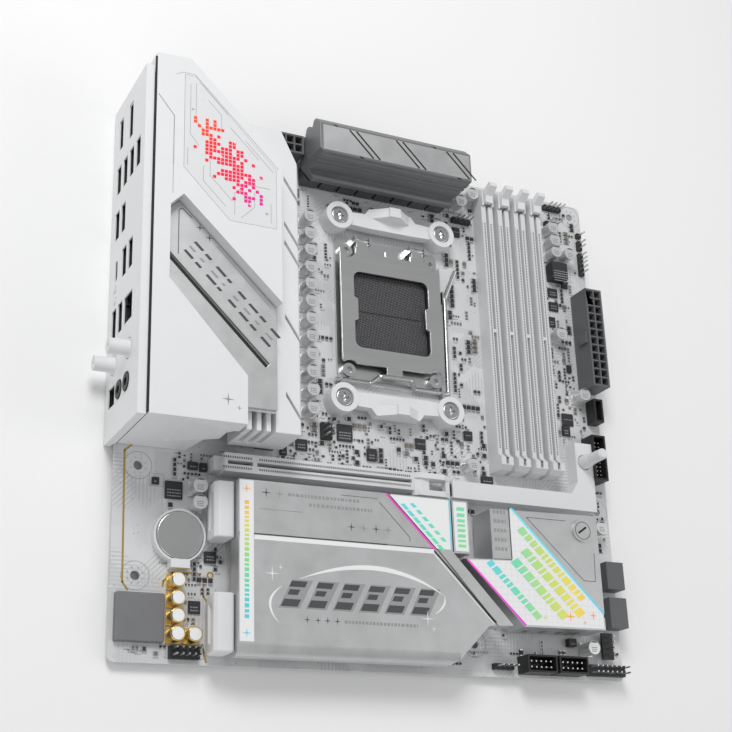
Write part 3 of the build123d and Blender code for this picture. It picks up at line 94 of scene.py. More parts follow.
def place_of(nodes, links, stretch=(1.0, 1.0, 1.0), turn=0.0):
    """Object coordinates, turned about Z and stretched."""
    where = nodes.new("ShaderNodeTexCoord")
    mapping = nodes.new("ShaderNodeMapping")
    mapping.inputs["Scale"].default_value = stretch
    mapping.inputs["Rotation"].default_value = (0.0, 0.0, turn)
    links.new(where.outputs["Object"], mapping.inputs["Vector"])
    return mapping.outputs["Vector"]


def noise(nodes, links, vector, size, detail=3.0, rough=0.55):
    """Noise whose features are about size millimetres across."""
    made = nodes.new("ShaderNodeTexNoise")
    made.inputs["Scale"].default_value = 1.0 / (size * MM)
    made.inputs["Detail"].default_value = detail
    made.inputs["Roughness"].default_value = rough
    links.new(vector, made.inputs["Vector"])
    return made.outputs["Fac"]


def ramp(nodes, links, value, stops):
    """Colour ramp on a value, with (position, colour) stops."""
    made = nodes.new("ShaderNodeValToRGB")
    band = made.color_ramp
    for element, (position, color) in zip(band.elements, (stops[0], stops[-1])):
        element.position = position
        element.color = (*color, 1.0)
    for position, color in stops[1:-1]:
        band.elements.new(position).color = (*color, 1.0)
    links.new(value, made.inputs["Fac"])
    return made.outputs["Color"]


def bump(nodes, links, shader, value, height):
    """Bump from a value, height in millimetres."""
    made = nodes.new("ShaderNodeBump")
    made.inputs["Distance"].default_value = height * MM
    made.inputs["Strength"].default_value = 1.0
    links.new(value, made.inputs["Height"])
    links.new(made.outputs["Normal"], shader.inputs["Normal"])


def shade(color, factor):
    """A colour, lighter or darker."""
    return tuple(min(1.0, c * factor) for c in color)


def grained(name, color, roughness, grain, variation, height, metallic=0.0,
            stretch=(1.0, 1.0, 1.0)):
    """A surface with a fine grain: colour and bump vary at the grain's size in millimetres."""
    made, nodes, links, shader = shader_of(name, color, roughness, metallic)
    vector = place_of(nodes, links, stretch)
    fine = noise(nodes, links, vector, grain)
    broad = noise(nodes, links, vector, grain * 60, 2.0)
    mixed = nodes.new("ShaderNodeMath")
    mixed.operation = "MULTIPLY_ADD"
    mixed.inputs[1].default_value = 0.35
    links.new(broad, mixed.inputs[0])
    links.new(fine, mixed.inputs[2])
    links.new(
        ramp(nodes, links, mixed.outputs[0],
             [(0.35, shade(color, 1 - variation)), (1.0, shade(color, 1 + variation))]),
        shader.inputs["Base Color"],
    )
    rough = nodes.new("ShaderNodeMapRange")
    rough.inputs["To Min"].default_value = max(0.05, roughness - 0.06)
    rough.inputs["To Max"].default_value = min(1.0, roughness + 0.08)
    links.new(broad, rough.inputs["Value"])
    links.new(rough.outputs["Result"], shader.inputs["Roughness"])
    bump(nodes, links, shader, fine, height)
    return made


def brushed_mesh(name):
    """The contact field: rows of tiny slanting contacts in a black carrier."""
    made, nodes, links, shader = shader_of(name, (0.05, 0.05, 0.055), 0.45, 0.3)
    vector = place_of(nodes, links, turn=math.radians(32))
    brick = nodes.new("ShaderNodeTexBrick")
    brick.inputs["Scale"].default_value = 1.0 / (1.9 * MM)
    brick.inputs["Color1"].default_value = (0.34, 0.34, 0.35, 1)
    brick.inputs["Color2"].default_value = (0.26, 0.26, 0.27, 1)
    brick.inputs["Mortar"].default_value = (0.025, 0.025, 0.028, 1)
    brick.inputs["Mortar Size"].default_value = 0.12
    brick.inputs["Mortar Smooth"].default_value = 0.3
    brick.inputs["Brick Width"].default_value = 0.5
    brick.inputs["Row Height"].default_value = 0.36
    links.new(vector, brick.inputs["Vector"])
    links.new(brick.outputs["Color"], shader.inputs["Base Color"])
    bump(nodes, links, shader, brick.outputs["Fac"], -0.15)
    return made


def solder_mask(name):
    """White solder mask: faint copper pours and traces beneath, and tiny plated holes."""
    made, nodes, links, shader = shader_of(name, (0.7, 0.71, 0.72), 0.38)
    vector = place_of(nodes, links)
    pours = nodes.new("ShaderNodeTexVoronoi")
    pours.inputs["Scale"].default_value = 1.0 / (17 * MM)
    pours.distance = "CHEBYCHEV"
    links.new(vector, pours.inputs["Vector"])
    tint = nodes.new("ShaderNodeSeparateColor")
    links.new(pours.outputs["Color"], tint.inputs["Color"])
    base = ramp(nodes, links, tint.outputs["Red"],
                [(0.0, (0.60, 0.615, 0.63)), (0.5, (0.67, 0.68, 0.69)), (1.0, (0.73, 0.735, 0.74))])
    # Bundles of traces, in patches, along and across the board.
    strokes = []
    for turn, patch in ((0.0, 23.0), (math.radians(90), 31.0), (math.radians(45), 27.0)):
        turned = place_of(nodes, links, turn=turn)
        wave = nodes.new("ShaderNodeTexWave")
        wave.inputs["Scale"].default_value = 1.0 / (5.2 * MM)
        wave.inputs["Distortion"].default_value = 0.0
        links.new(turned, wave.inputs["Vector"])
        area = noise(nodes, links, turned, patch, 1.0)
        gate = ramp(nodes, links, area, [(0.60, (0, 0, 0)), (0.62, (1, 1, 1))])
        line = ramp(nodes, links, wave.outputs["Fac"], [(0.60, (0, 0, 0)), (0.80, (1, 1, 1))])
        both = nodes.new("ShaderNodeMix")
        both.data_type = "RGBA"
        both.blend_type = "MULTIPLY"
        both.inputs["Factor"].default_value = 1.0
        links.new(gate, both.inputs["A"])
        links.new(line, both.inputs["B"])
        strokes.append(both.outputs["Result"])
    color = base
    for stroke in strokes:
        mix = nodes.new("ShaderNodeMix")
        mix.data_type = "RGBA"
        mix.inputs["B"].default_value = (0.56, 0.57, 0.585, 1)
        links.new(stroke, mix.inputs["Factor"])
        links.new(color, mix.inputs["A"])
        color = mix.outputs["Result"]
    holes = nodes.new("ShaderNodeTexVoronoi")
    holes.inputs["Scale"].default_value = 1.0 / (3.4 * MM)
    holes.inputs["Randomness"].default_value = 0.9
    links.new(vector, holes.inputs["Vector"])
    dots = ramp(nodes, links, holes.outputs["Distance"],
                [(0.0, (1, 1, 1)), (0.065, (1, 1, 1)), (0.085, (0, 0, 0))])
    mix = nodes.new("ShaderNodeMix")
    mix.data_type = "RGBA"
    mix.inputs["B"].default_value = (0.33, 0.33, 0.34, 1)
    links.new(dots, mix.inputs["Factor"])
    links.new(color, mix.inputs["A"])
    links.new(mix.outputs["Result"], shader.inputs["Base Color"])
    bump(nodes, links, shader, tint.outputs["Red"], 0.03)
    return made


def gradient(name, start, end, colors, roughness=0.4, glow=0.0):
    """A surface whose colour runs through several colours from one point to another."""
    made, nodes, links, shader = shader_of(name, colors[0], roughness)
    where = nodes.new("ShaderNodeTexCoord")
    along = Vector(end) - Vector(start)
    difference = nodes.new("ShaderNodeVectorMath")
    difference.operation = "SUBTRACT"
    difference.inputs[1].default_value = start
    links.new(where.outputs["Object"], difference.inputs[0])
    product = nodes.new("ShaderNodeVectorMath")
    product.operation = "DOT_PRODUCT"
    product.inputs[1].default_value = along / along.length_squared
    links.new(difference.outputs[0], product.inputs[0])
    last = len(colors) - 1
    stops = [(i / last, color) for i, color in enumerate(colors)]
    color = ramp(nodes, links, product.outputs["Value"], stops)
    links.new(color, shader.inputs["Base Color"])
    if glow:
        links.new(color, shader.inputs["Emission Color"])
        shader.inputs["Emission Strength"].default_value = glow
    return made


WHITE = (0.76, 0.765, 0.775)
finish = {
    "pcb": solder_mask("white_solder_mask"),
    "white_plastic": grained("white_plastic", WHITE, 0.42, 0.25, 0.03, 0.01),
    "slot_plastic": grained("slot_plastic", (0.70, 0.705, 0.715), 0.45, 0.2, 0.05, 0.015),
    "white_metal": grained("white_painted_metal", (0.79, 0.80, 0.81), 0.36, 0.12, 0.03, 0.012),
    "silver_metal": grained("blasted_aluminium", (0.60, 0.605, 0.61), 0.42, 0.16, 0.22, 0.035,
                            metallic=0.85),
    "gray_metal": grained("gray_cast_metal", (0.22, 0.223, 0.23), 0.48, 0.2, 0.18, 0.03,
                          metallic=0.5),
    "steel": grained("nickel_steel", (0.60, 0.605, 0.61), 0.30, 0.5, 0.06, 0.01, metallic=1.0,
                     stretch=(1.0, 14.0, 1.0)),
    "bright_steel": grained("polished_steel", (0.58, 0.585, 0.59), 0.24, 0.4, 0.08, 0.01,
                            metallic=1.0),
    "dark_plastic": grained("black_plastic", (0.014, 0.014, 0.015), 0.45, 0.2, 0.2, 0.02),
    "gray_plastic": grained("gray_plastic", (0.12, 0.122, 0.128), 0.5, 0.2, 0.12, 0.02),
    "gold": grained("gold_plating", (0.83, 0.62, 0.24), 0.26, 0.4, 0.1, 0.01, metallic=1.0),
    "window": grained("frosted_window", (0.76, 0.765, 0.775), 0.3, 0.1, 0.03, 0.006),
    "chip": grained("chip_package", (0.03, 0.03, 0.033), 0.5, 0.12, 0.25, 0.015),
    "choke": grained("choke_ferrite", (0.075, 0.077, 0.08), 0.5, 0.15, 0.25, 0.03),
    "thermal": grained("thermal_pad", (0.42, 0.47, 0.52), 0.8, 0.3, 0.1, 0.03),
    "contact": brushed_mesh("contact_field"),
    # Dark print, and also painted shade over the slots' contact openings.
    "ink_and_shade": grained("dark_ink_and_painted_shade", (0.07, 0.07, 0.075), 0.5, 0.2, 0.3, 0.004),
    "soft_ink": grained("gray_ink", (0.32, 0.325, 0.33), 0.5, 0.2, 0.15, 0.004),
    "white_ink": grained("white_ink", (0.88, 0.885, 0.89), 0.4, 0.2, 0.02, 0.004),
    "tin": grained("tinned_metal", (0.62, 0.625, 0.63), 0.3, 0.2, 0.12, 0.02, metallic=1.0),
    "ceramic": grained("ceramic_body", (0.20, 0.17, 0.145), 0.5, 0.2, 0.25, 0.02),
    "trace_gold": grained("trace_gold", (0.50, 0.34, 0.08), 0.35, 0.4, 0.12, 0.01, metallic=0.6),
    "cap_top": grained("capacitor_top", (0.74, 0.745, 0.75), 0.32, 0.2, 0.06, 0.01, metallic=0.6),
    # Painted shade: the ports' metal shells are made dark for the shade in their openings.
    "port_shell_painted_shade": grained("port_shell_painted_shade", (0.10, 0.10, 0.105), 0.35, 0.3, 0.12, 0.01, metallic=0.9),
    # Painted shade: near-black for the shade inside grooves, slots and gaps between parts.
    "painted_shade": grained("painted_shade_black", (0.012, 0.012, 0.013), 0.7, 0.3, 0.2, 0.01),
}

# ------------------------------------------------------------------ CAD nodes
node_finish = {
    "pcb": "pcb",
    "cpu_backplate": "steel",
    "socket_body": "dark_plastic",
    "contact_field": "contact",
    "socket_frame": "steel",
    "load_plate": "steel",
    "load_lever": "bright_steel",
    "socket_screws": "steel",
    "cooler_bracket_top": "white_plastic",
    "cooler_bracket_bottom": "white_plastic",
    "bracket_screws": "bright_steel",
    "atx_power_socket": "gray_plastic",
    "cpu_power_socket": "gray_plastic",
    "connector_pins": "tin",
    "vrm_heatsink_side": "white_metal",
    "vrm_heatsink_top": "gray_metal",
    "thermal_pads": "thermal",
    "vrm_chokes": "choke",
    "power_stages": "chip",
    "capacitors": "cap_top",
    "audio_capacitors": "gold",
    "io_shield": "white_metal",
    "io_shroud": "white_metal",
    "shroud_window": "window",
    "shroud_panel": "silver_metal",
    "light_board": "chip",
    # Painted shade: the ports get dark shells for their shaded openings.
    "video_ports": "port_shell_painted_shade",
    "usb_ports": "port_shell_painted_shade",
    "usb_tongues": "dark_plastic",
    "lan_port": "port_shell_painted_shade",
    "antenna_sockets": "white_plastic",
    "audio_jacks": "dark_plastic",
    "optical_port": "dark_plastic",
    "flash_button": "white_plastic",
    "reset_button": "white_plastic",
    "pcie_slot": "slot_plastic",
    "pcie_latch": "white_plastic",
    "release_rail": "white_plastic",
    "release_slider": "steel",
    "release_button": "white_plastic",
    "m2_cover": "silver_metal",
    "chipset_heatsink": "silver_metal",
    "m2_sockets": "dark_plastic",
    "m2_latch_upper": "white_plastic",
    "m2_latch_lower": "white_plastic",
    "battery_holder": "white_plastic",
    "battery": "bright_steel",
    "sata_ports": "gray_plastic",
    "audio_shield": "gray_metal",
    "chips": "chip",
    "header_blocks": "dark_plastic",
    "cover_screws": "bright_steel",
}
for number in range(1, 5):
    node_finish[f"memory_slot_{number}"] = "slot_plastic"
    node_finish[f"memory_latch_{number}"] = "white_plastic"

for name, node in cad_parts.items():
    node.data.materials.clear()
    node.data.materials.append(finish[node_finish[name]])


def soften(name, width, segments=2):
    """Rounds a CAD node's sharp edges, width in millimetres."""
    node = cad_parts[name]
    weld = node.modifiers.new("weld", "WELD")
    weld.merge_threshold = 0.002 * MM
    plain = node.modifiers.new("plain_faces", "DECIMATE")
    plain.decimate_type = "DISSOLVE"
    plain.angle_limit = math.radians(1.0)
    edge = node.modifiers.new("rounded_edges", "BEVEL")
    edge.width = width * MM
    edge.segments = segments
    edge.limit_method = "ANGLE"
    edge.angle_limit = math.radians(38)


for name, width in (
    ("io_shroud", 0.5), ("shroud_panel", 0.25), ("vrm_heatsink_top", 0.35),
    ("vrm_heatsink_side", 0.3), ("m2_cover", 0.3), ("chipset_heatsink", 0.3),
    ("cooler_bracket_top", 1.0), ("cooler_bracket_bottom", 1.0), ("load_plate", 0.3),
    ("atx_power_socket", 0.15), ("pcie_latch", 0.4), ("release_rail", 0.4),
    ("m2_latch_upper", 0.6), ("m2_latch_lower", 0.6), ("io_shield", 0.15),
):
    soften(name, width, 3 if width >= 0.5 else 2)

# ------------------------------------------------------------------ building pieces
MOVING = ("load_plate", "load_lever", "memory_latch", "pcie_latch", "release_slider",
          "release_button", "m2_latch", "flash_button", "reset_button")


def surface_tree():
    """Every CAD face that stays still, for finding heights over the board."""
    points, faces = [], []
    for name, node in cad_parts.items():
        if name.startswith(MOVING):
            continue
        start = len(points)
        points.extend(node.matrix_world @ v.co for v in node.data.vertices)
        faces.extend([start + i for i in p.vertices] for p in node.data.polygons)
    return BVHTree.FromPolygons(points, faces)


surfaces = surface_tree()


def height_at(x, y, above=70.0):
    """Height in board millimetres of the first surface under a point; -99 off the board."""
    hit = surfaces.ray_cast(spot(x, y, above), Vector((0.0, 0.0, -1.0)))[0]
    return (hit.z - board_high.z) / MM if hit else -99.0


def islands(node):
    """Lowest and highest corner of each loose part of a CAD node, in board millimetres."""
    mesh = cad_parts[node].data
    parent = list(range(len(mesh.vertices)))

    def root(i):
        while parent[i] != i:
            parent[i] = parent[parent[i]]
            i = parent[i]
        return i

    first_at = {}
    for vertex in mesh.vertices:
        place = tuple(round(c, 6) for c in vertex.co)
        parent[root(vertex.index)] = root(first_at.setdefault(place, vertex.index))
    for edge in mesh.edges:
        parent[root(edge.vertices[0])] = root(edge.vertices[1])
    boxes = {}
    matrix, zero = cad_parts[node].matrix_world, spot(0, 0)
    for i, vertex in enumerate(mesh.vertices):
        p = (matrix @ vertex.co - zero) / MM
        low, high = boxes.setdefault(root(i), (p.copy(), p.copy()))
        for axis in range(3):
            low[axis] = min(low[axis], p[axis])
            high[axis] = max(high[axis], p[axis])
    return sorted(boxes.values(), key=lambda b: (round(b[0].x, 2), round(b[0].y, 2)))


class Group:
    """Pieces of one material, gathered into one object that rides on the board."""

    INK = 0.05  # thickness of a printed mark
    RUN_ON = 0.3  # share of a line's width by which each stretch runs past its ends

    def __init__(self, name, material, slot):
        self.name, self.material, self.slot = name, material, slot
        self.mesh = bmesh.new()

    def loops(self, rings):
        """Closed shell through equal rings of points, capped at both ends."""
        made = [[self.mesh.verts.new(p) for p in ring] for ring in rings]
        count = len(made[0])
        self.mesh.faces.new(list(reversed(made[0])))
        self.mesh.faces.new(made[-1])
        for lower, upper in zip(made, made[1:]):
            for i in range(count):
                j = (i + 1) % count
                self.mesh.faces.new((lower[i], lower[j], upper[j], upper[i]))

    def prism(self, outline, low, high):
        """Upright prism over an outline in board millimetres."""
        area = sum(a[0] * b[1] - b[0] * a[1] for a, b in zip(outline, outline[1:] + outline[:1]))
        ring = outline if area > 0 else list(reversed(outline))
        self.loops([[spot(x, y, z) for x, y in ring] for z in (low, high)])

    def block(self, x0, y0, x1, y1, low, high, chamfer=0.0):
        """Box whose upper edges are chamfered."""
        cut = min(chamfer, (x1 - x0) / 3, (y1 - y0) / 3, (high - low) / 2)
        base = [(x0, y0), (x1, y0), (x1, y1), (x0, y1)]
        if cut <= 0:
            self.prism(base, low, high)
            return
        lid = [(x0 + cut, y0 + cut), (x1 - cut, y0 + cut),
               (x1 - cut, y1 - cut), (x0 + cut, y1 - cut)]
        self.loops([[spot(x, y, low) for x, y in base],
                    [spot(x, y, high - cut) for x, y in base],
                    [spot(x, y, high) for x, y in lid]])

    def stroke(self, points, width, z, thick=INK):
        """Printed line through points at height z."""
        for (xa, ya), (xb, yb) in zip(points, points[1:]):
            length = math.hypot(xb - xa, yb - ya)
            ux, uy = (xb - xa) / length, (yb - ya) / length
            nx, ny = -uy * width / 2, ux * width / 2
            ex, ey = ux * width * self.RUN_ON, uy * width * self.RUN_ON
            self.prism([(xa - ex + nx, ya - ey + ny), (xa - ex - nx, ya - ey - ny),
                        (xb + ex - nx, yb + ey - ny), (xb + ex + nx, yb + ey + ny)], z, z + thick)

    def disc(self, x, y, radius, low, high, count=28, start=0.0, sweep=math.tau):
        """Round piece, or the segment of one that a sweep cuts off."""
        last = count if sweep >= math.tau - 0.01 else count + 1
        ring = [(x + radius * math.cos(start + sweep * i / count),
                 y + radius * math.sin(start + sweep * i / count)) for i in range(last)]
        self.prism(ring, low, high)

    def ring(self, x, y, inner, outer, low, high, count=40):
        """Flat ring."""
        turns = [math.tau * i / count for i in range(count)]
        for a, b in zip(turns, turns[1:] + turns[:1]):
            self.prism([(x + r * math.cos(t), y + r * math.sin(t))
                        for r, t in ((inner, a), (outer, a), (outer, b), (inner, b))], low, high)

    def star(self, x, y, size, z, waist=0.17):
        """Sparkle with four points."""
        ring = []
        for i in range(8):
            reach = size if i % 2 == 0 else size * waist
            turn = math.radians(45 * i)
            ring.append((x + reach * math.cos(turn), y + reach * math.sin(turn)))
        self.prism(ring, z, z + self.INK)

    def slant(self, x, y, width, height, lean, z, turn=0.0):
        """Leaning bar from its lower left corner, turned about that corner."""
        corners = [(0, 0), (width, 0), (width + lean, height), (lean, height)]
        c, s = math.cos(turn), math.sin(turn)
        self.prism([(x + c * u - s * v, y + s * u + c * v) for u, v in corners], z, z + self.INK)

    def finish(self):
        """Makes the object."""
        data = bpy.data.meshes.new(self.name)
        self.mesh.to_mesh(data)
        self.mesh.free()
        made = bpy.data.objects.new(self.name, data)
        bpy.context.scene.collection.objects.link(made)
        data.materials.append(self.material)
        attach(made, "board")
        return made


PRINT = 0.03  # height of the board's print over the solder mask
LIFT = 0.01  # height of a print's underside over the face it lies on
OVER = 0.06  # height of a second layer of print over the first one's underside
DIAGONAL = math.radians(-45)  # slope of the words and bars that run down the covers
groups = {
    # Dark print, and painted shade over the slots' contact openings.
    "dark_print_and_painted_shade": Group("dark_print_and_painted_shade", finish["ink_and_shade"], "dark_plastic"),
    "gray_print": Group("gray_print", finish["soft_ink"], "gray_plastic"),
    "white_print": Group("white_print", finish["white_ink"], "white_plastic"),
    # Painted shade: near-black strips where grooves, slots and gaps lie in shade.
    "painted_shade_marks": Group("painted_shade_marks", finish["painted_shade"], "dark_plastic"),
    "dark_parts": Group("dark_parts", finish["chip"], "chip"),
    "tan_parts": Group("tan_parts", finish["ceramic"], "gray_plastic"),
    "tin_parts": Group("tin_parts", finish["tin"], "steel"),
    "gold_lines": Group("gold_lines", finish["trace_gold"], "gold"),
    "cap_tops": Group("capacitor_tops", finish["cap_top"], "silver_metal"),
    "silver_plates": Group("silver_plates", finish["silver_metal"], "silver_metal"),
}
dark_ink_and_shade, gray, white = groups["dark_print_and_painted_shade"], groups["gray_print"], groups["white_print"]
painted_shade, gold_line = groups["painted_shade_marks"], groups["gold_lines"]
dark_part, tan_part, tin_part = groups["dark_parts"], groups["tan_parts"], groups["tin_parts"]


def dashes(group, x, y, length, tall, z, gap=0.45, turn=0.0, least=0.5, most=1.5):
    """A row of short printed dashes where the object has lettering."""
    along = 0.0
    c, s = math.cos(turn), math.sin(turn)
    while along < length:
        step = min(random.uniform(least, most), length - along)
        if step > 0.2:
            group.slant(x + c * along, y + s * along, step, tall, 0.0, z, turn)
        along += step + gap


def tapered(group, points, widths, z):
    """Swoosh: a smooth line through points whose width changes along it."""
    left, right = [], []
    for i, (x, y) in enumerate(points):
        a, b = points[max(0, i - 1)], points[min(len(points) - 1, i + 1)]
        length = math.hypot(b[0] - a[0], b[1] - a[1])
        nx, ny = -(b[1] - a[1]) / length, (b[0] - a[0]) / length
        left.append((x + nx * widths[i] / 2, y + ny * widths[i] / 2))
        right.append((x - nx * widths[i] / 2, y - ny * widths[i] / 2))
    for i in range(len(points) - 1):
        group.prism([left[i], right[i], right[i + 1], left[i + 1]], z, z + OVER)


ARC_STEPS = 18


def arc(start, through, end):
    """Points of a quadratic curve."""
    made = []
    for i in range(ARC_STEPS + 1):
        t = i / ARC_STEPS
        made.append(tuple((1 - t) ** 2 * a + 2 * t * (1 - t) * b + t ** 2 * c
                          for a, b, c in zip(start, through, end)))
    return made


# ------------------------------------------------------------------ memory and graphics slots
memory_contact_pitch = 0.85
memory_contact_row = 1.75  # from the groove's middle
memory_groove_half = 0.73
card_contact_pitch = 1.0
card_contact_row = 2.2
card_groove_half = 0.8
card_key = (56.2, 58.5)  # where the card groove is interrupted
for number in range(1, 5):
    low, high = extent(f"memory_slot_{number}")
    middle = (low.x + high.x) / 2
    bed = height_at(middle, low.y + 30)
    # Painted shade: a near-black strip at the bottom of the groove.
    painted_shade.block(middle - memory_groove_half, low.y + 8.5,
                 middle + memory_groove_half, high.y - 19.0, bed + 0.02, bed + 0.1)
    # Painted shade: dark blocks on the slot's top for its shaded contact openings.
    top = height_at(middle + 2.2, low.y + 30)
    y = low.y + 10.5
    while y < high.y - 20:
        for side in (-1, 1):
            x = middle + side * memory_contact_row
            dark_ink_and_shade.block(x - 0.38, y, x + 0.38, y + 0.4, top + LIFT, top + Group.INK)
        y += memory_contact_pitch
    for x in (middle - 3.0, middle + 3.0):
        gray.stroke([(x, low.y + 8.6), (x, high.y - 19)], 0.12, top + LIFT)
    lid = height_at(middle + 2.0, low.y + 4)
    dark_ink_and_shade.prism([(middle - 0.8, low.y + 5.6), (middle + 0.8, low.y + 5.6), (middle, low.y + 4.2)],
               lid + LIFT, lid + 0.06)

low, high = extent("pcie_slot")
middle = (low.y + high.y) / 2
top = height_at(low.x + 30, middle + 2.5)
bed = height_at(low.x + 30, middle)
# Painted shade: near-black strips at the bottom of the card groove.
for x0, x1 in ((low.x + 2.6, card_key[0]), (card_key[1], high.x - 1.2)):
    painted_shade.block(x0, middle - card_groove_half, x1, middle + card_groove_half,
                 bed + 0.02, bed + 0.1)
# Painted shade: dark blocks on the slot's top for its shaded contact openings.
x = low.x + 3.0
while x < high.x - 2.0:
    if not card_key[0] - 0.4 < x < card_key[1] + 0.1:
        for side in (-1, 1):
            y = middle + side * card_contact_row
            dark_ink_and_shade.block(x, y - 0.45, x + 0.5, y + 0.45, top + LIFT, top + Group.INK)
    x += card_contact_pitch

# ------------------------------------------------------------------ capacitors and chokes
cap_top = groups["cap_tops"]
for low, high in islands("capacitors"):
    x, y, radius = (low.x + high.x) / 2, (low.y + high.y) / 2, (high.x - low.x) / 2
    if radius < 1.5 or high.z < 3:
        continue
    cap_top.disc(x, y, radius - 0.12, high.z + LIFT, high.z + 0.06)
    dark_ink_and_shade.disc(x, y, radius - 0.3, high.z + 0.07, high.z + 0.11, 12,
              math.radians(50), math.radians(80))
    for row in (0, 1, 2):
        dashes(gray, x - 1.5, y - 0.25 - row * 0.85, 2.9, 0.42, high.z + 0.07, 0.25, 0.0, 0.4, 0.9)
for low, high in islands("audio_capacitors"):
    x, y, radius = (low.x + high.x) / 2, (low.y + high.y) / 2, (high.x - low.x) / 2
    if radius < 1.5:
        continue
    white.disc(x, y, radius - 0.7, high.z + LIFT, high.z + 0.07)
    dark_ink_and_shade.disc(x, y, radius - 0.3, high.z + 0.005, high.z + 0.03, 12, math.radians(150),
              math.radians(70))
for low, high in islands("vrm_chokes"):
    x, y = (low.x + high.x) / 2, (low.y + high.y) / 2
    if high.x - low.x < 4:
        continue
    dashes(gray, x - 2.4, y - 0.4, 4.8, 1.1, high.z + LIFT, 0.5, 0.0, 0.7, 1.3)
for low, high in islands("chips"):
    if high.x - low.x > 2.5 and high.y - low.y > 2.5:
        for row in range(max(1, int((high.y - low.y) / 2.2))):
            dashes(gray, low.x + 0.8, low.y + 0.9 + row * 1.3, high.x - low.x - 1.6, 0.45,
                   high.z + LIFT, 0.3, 0.0, 0.4, 1.0)

# ------------------------------------------------------------------ shield, shroud and its window
top = extent("io_shroud")[1].z
shield_end = extent("io_shield")[0].y
# Painted shade: a dark strip along the rear edge of the shroud's top.
painted_shade.stroke([(0.65, shield_end + 1.0), (0.65, 248.0)], 0.9, top - 0.2, 0.24)
window_z = extent("shroud_window")[1].z + 0.02
for path in (
    [(16, 238), (16, 214), (20, 209)], [(18.5, 239), (18.5, 221), (26, 213)],
    [(24, 232), (30, 226), (30, 219)], [(36, 180), (36, 190), (41, 195), (52, 195)],
    [(15, 199), (15, 207)], [(52.5, 179), (52.5, 188)], [(39, 179), (45, 185), (45, 192)],
    [(20, 240), (33, 227)], [(34, 221), (47, 208)], [(41, 216), (53.5, 203.5)],
    [(22, 200), (22, 193), (32, 183)], [(25, 203), (25, 196), (35, 186)],
):
    gray.stroke(path, 0.16, window_z, 0.03)
lit = Group("lit_marks", gradient("lit_marks", spot(16, 226), spot(50, 182),
            [(1.0, 0.10, 0.01), (0.9, 0.01, 0.02), (0.85, 0.0, 0.06), (0.60, 0.0, 0.45)],
            0.45, 0.25), "window")
# A cloud of pixels about a diagonal: dense in its middle, thinning out to its ends and sides.
cell = 1.75
cell_fill = 0.82  # lit share of a cell's side
cloud_rows, cloud_columns = 22, 18
cloud_slope, cloud_spread = 0.82, 7.0
for row in range(cloud_rows):
    for column in range(cloud_columns):
        along = (column + row) / 38.0
        across = (column - row * cloud_slope) / cloud_spread
        dense = math.exp(-across * across * 2.2) * (1.05 - 0.65 * abs(along - 0.5) * 2)
        if random.random() < dense:
            x, y = 17.5 + column * cell, 221.5 - row * cell
            if y > 179 and x < 53 and x + y > 213:
                lit.block(x, y, x + cell * cell_fill, y + cell * cell_fill,
                          window_z, window_z + Group.INK)
lit.finish()
for x, y, size in ((20, 232, 1.6), (30, 206, 1.2), (47, 199, 1.5), (50, 190, 0.9), (22, 205, 0.9),
                   (43, 186, 1.3), (36, 214, 1.0)):
    white.star(x, y, size, window_z + 0.06)
for x, y, size in ((17, 226, 0.9), (27, 221, 0.8), (50.5, 183, 1.0), (37, 200, 0.8)):
    gray.star(x, y, size, window_z + 0.06)
gray.stroke([(1.9, 230), (8.9, 221), (8.9, 198)], 0.35, top + LIFT)
gray.stroke([(8.9, 198), (8.9, 184.5)], 0.2, top + LIFT)
gray.stroke([(9.5, 241.5), (12.6, 243.2), (17.9, 243.2), (56.0, 205.4)], 0.16, top + LIFT)

panel_z = extent("shroud_panel")[1].z + 0.015
dark_ink_and_shade.stroke([(13.7, 160.5), (13.7, 180.2), (14.4, 181.3), (15.5, 181.3), (19.3, 177.9)], 0.35,
            panel_z)
dark_ink_and_shade.star(22.9, 174.0, 1.9, panel_z)
dark_ink_and_shade.star(27.1, 170.0, 1.9, panel_z)
gray.stroke([(30.4, 166.9), (54.5, 142.6)], 0.3, panel_z)
# Three rows of slanting dashes stand where the object has words.
dash_pitch = 6.8
dash_lean = 0.48
for number, length in enumerate((5.0, 3.2, 5.6, 2.2, 4.4, 5.2, 3.4, 5.4)):
    across = (1.5 + number * dash_pitch) * math.cos(DIAGONAL)
    for group, x, y, share, tall in ((dark_ink_and_shade, 14.8, 163.6, 1.0, 1.2), (gray, 17.0, 165.8, 0.7, 0.9),
                                     (dark_ink_and_shade, 19.2, 168.0, 1.0, 1.2)):
        group.slant(x + across, y - across, length * share, tall, dash_lean, panel_z, DIAGONAL)
# Painted shade: a dark stripe across the panel.
painted_shade.stroke([(7.6, 161.2), (52.2, 116.6)], 1.5, panel_z, 0.03)
gray.star(33.5, 97.8, 2.6, top + LIFT)
gray.star(38.2, 94.6, 1.3, top + LIFT)
ribs = Group("end_ribs", finish["white_metal"], "white_metal")
end_y = extent("io_shroud")[0].y
for i in range(26):
    z0 = 10.0 + i * 1.15
    reach = min(20.0, (39.0 - z0) * 1.2)
    if reach > 1.5:
        ribs.loops([[spot(17.5 + u, end_y - d, z0 + u * 0.55 + h) for d, h in
                     ((-0.05, 0), (0.3, 0.12), (0.3, 0.5), (-0.05, 0.62))] for u in (reach, 0.0)])
ribs.finish()

# ------------------------------------------------------------------ side and top heatsinks
top = extent("vrm_heatsink_side")[1].z
white.stroke([(49.5, 229.0), (59.0, 218.0)], 2.2, top + LIFT)
dark_ink_and_shade.stroke([(48.3, 227.6), (57.6, 216.9)], 0.3, top + LIFT)
top = extent("vrm_heatsink_top")[1].z
plate = groups["silver_plates"]
plate.prism([(83.5, 228.3), (160.2, 228.3), (160.2, 241.0), (83.5, 241.0)], top + LIFT,
            top + 0.08)
# Painted shade: dark slanting slots across the silver plate.
for x in (97.0, 100.5, 121.0, 124.5, 148.0, 151.5):
    painted_shade.stroke([(x, 240.6), (x + 11.5, 228.7)], 0.8, top + 0.09)

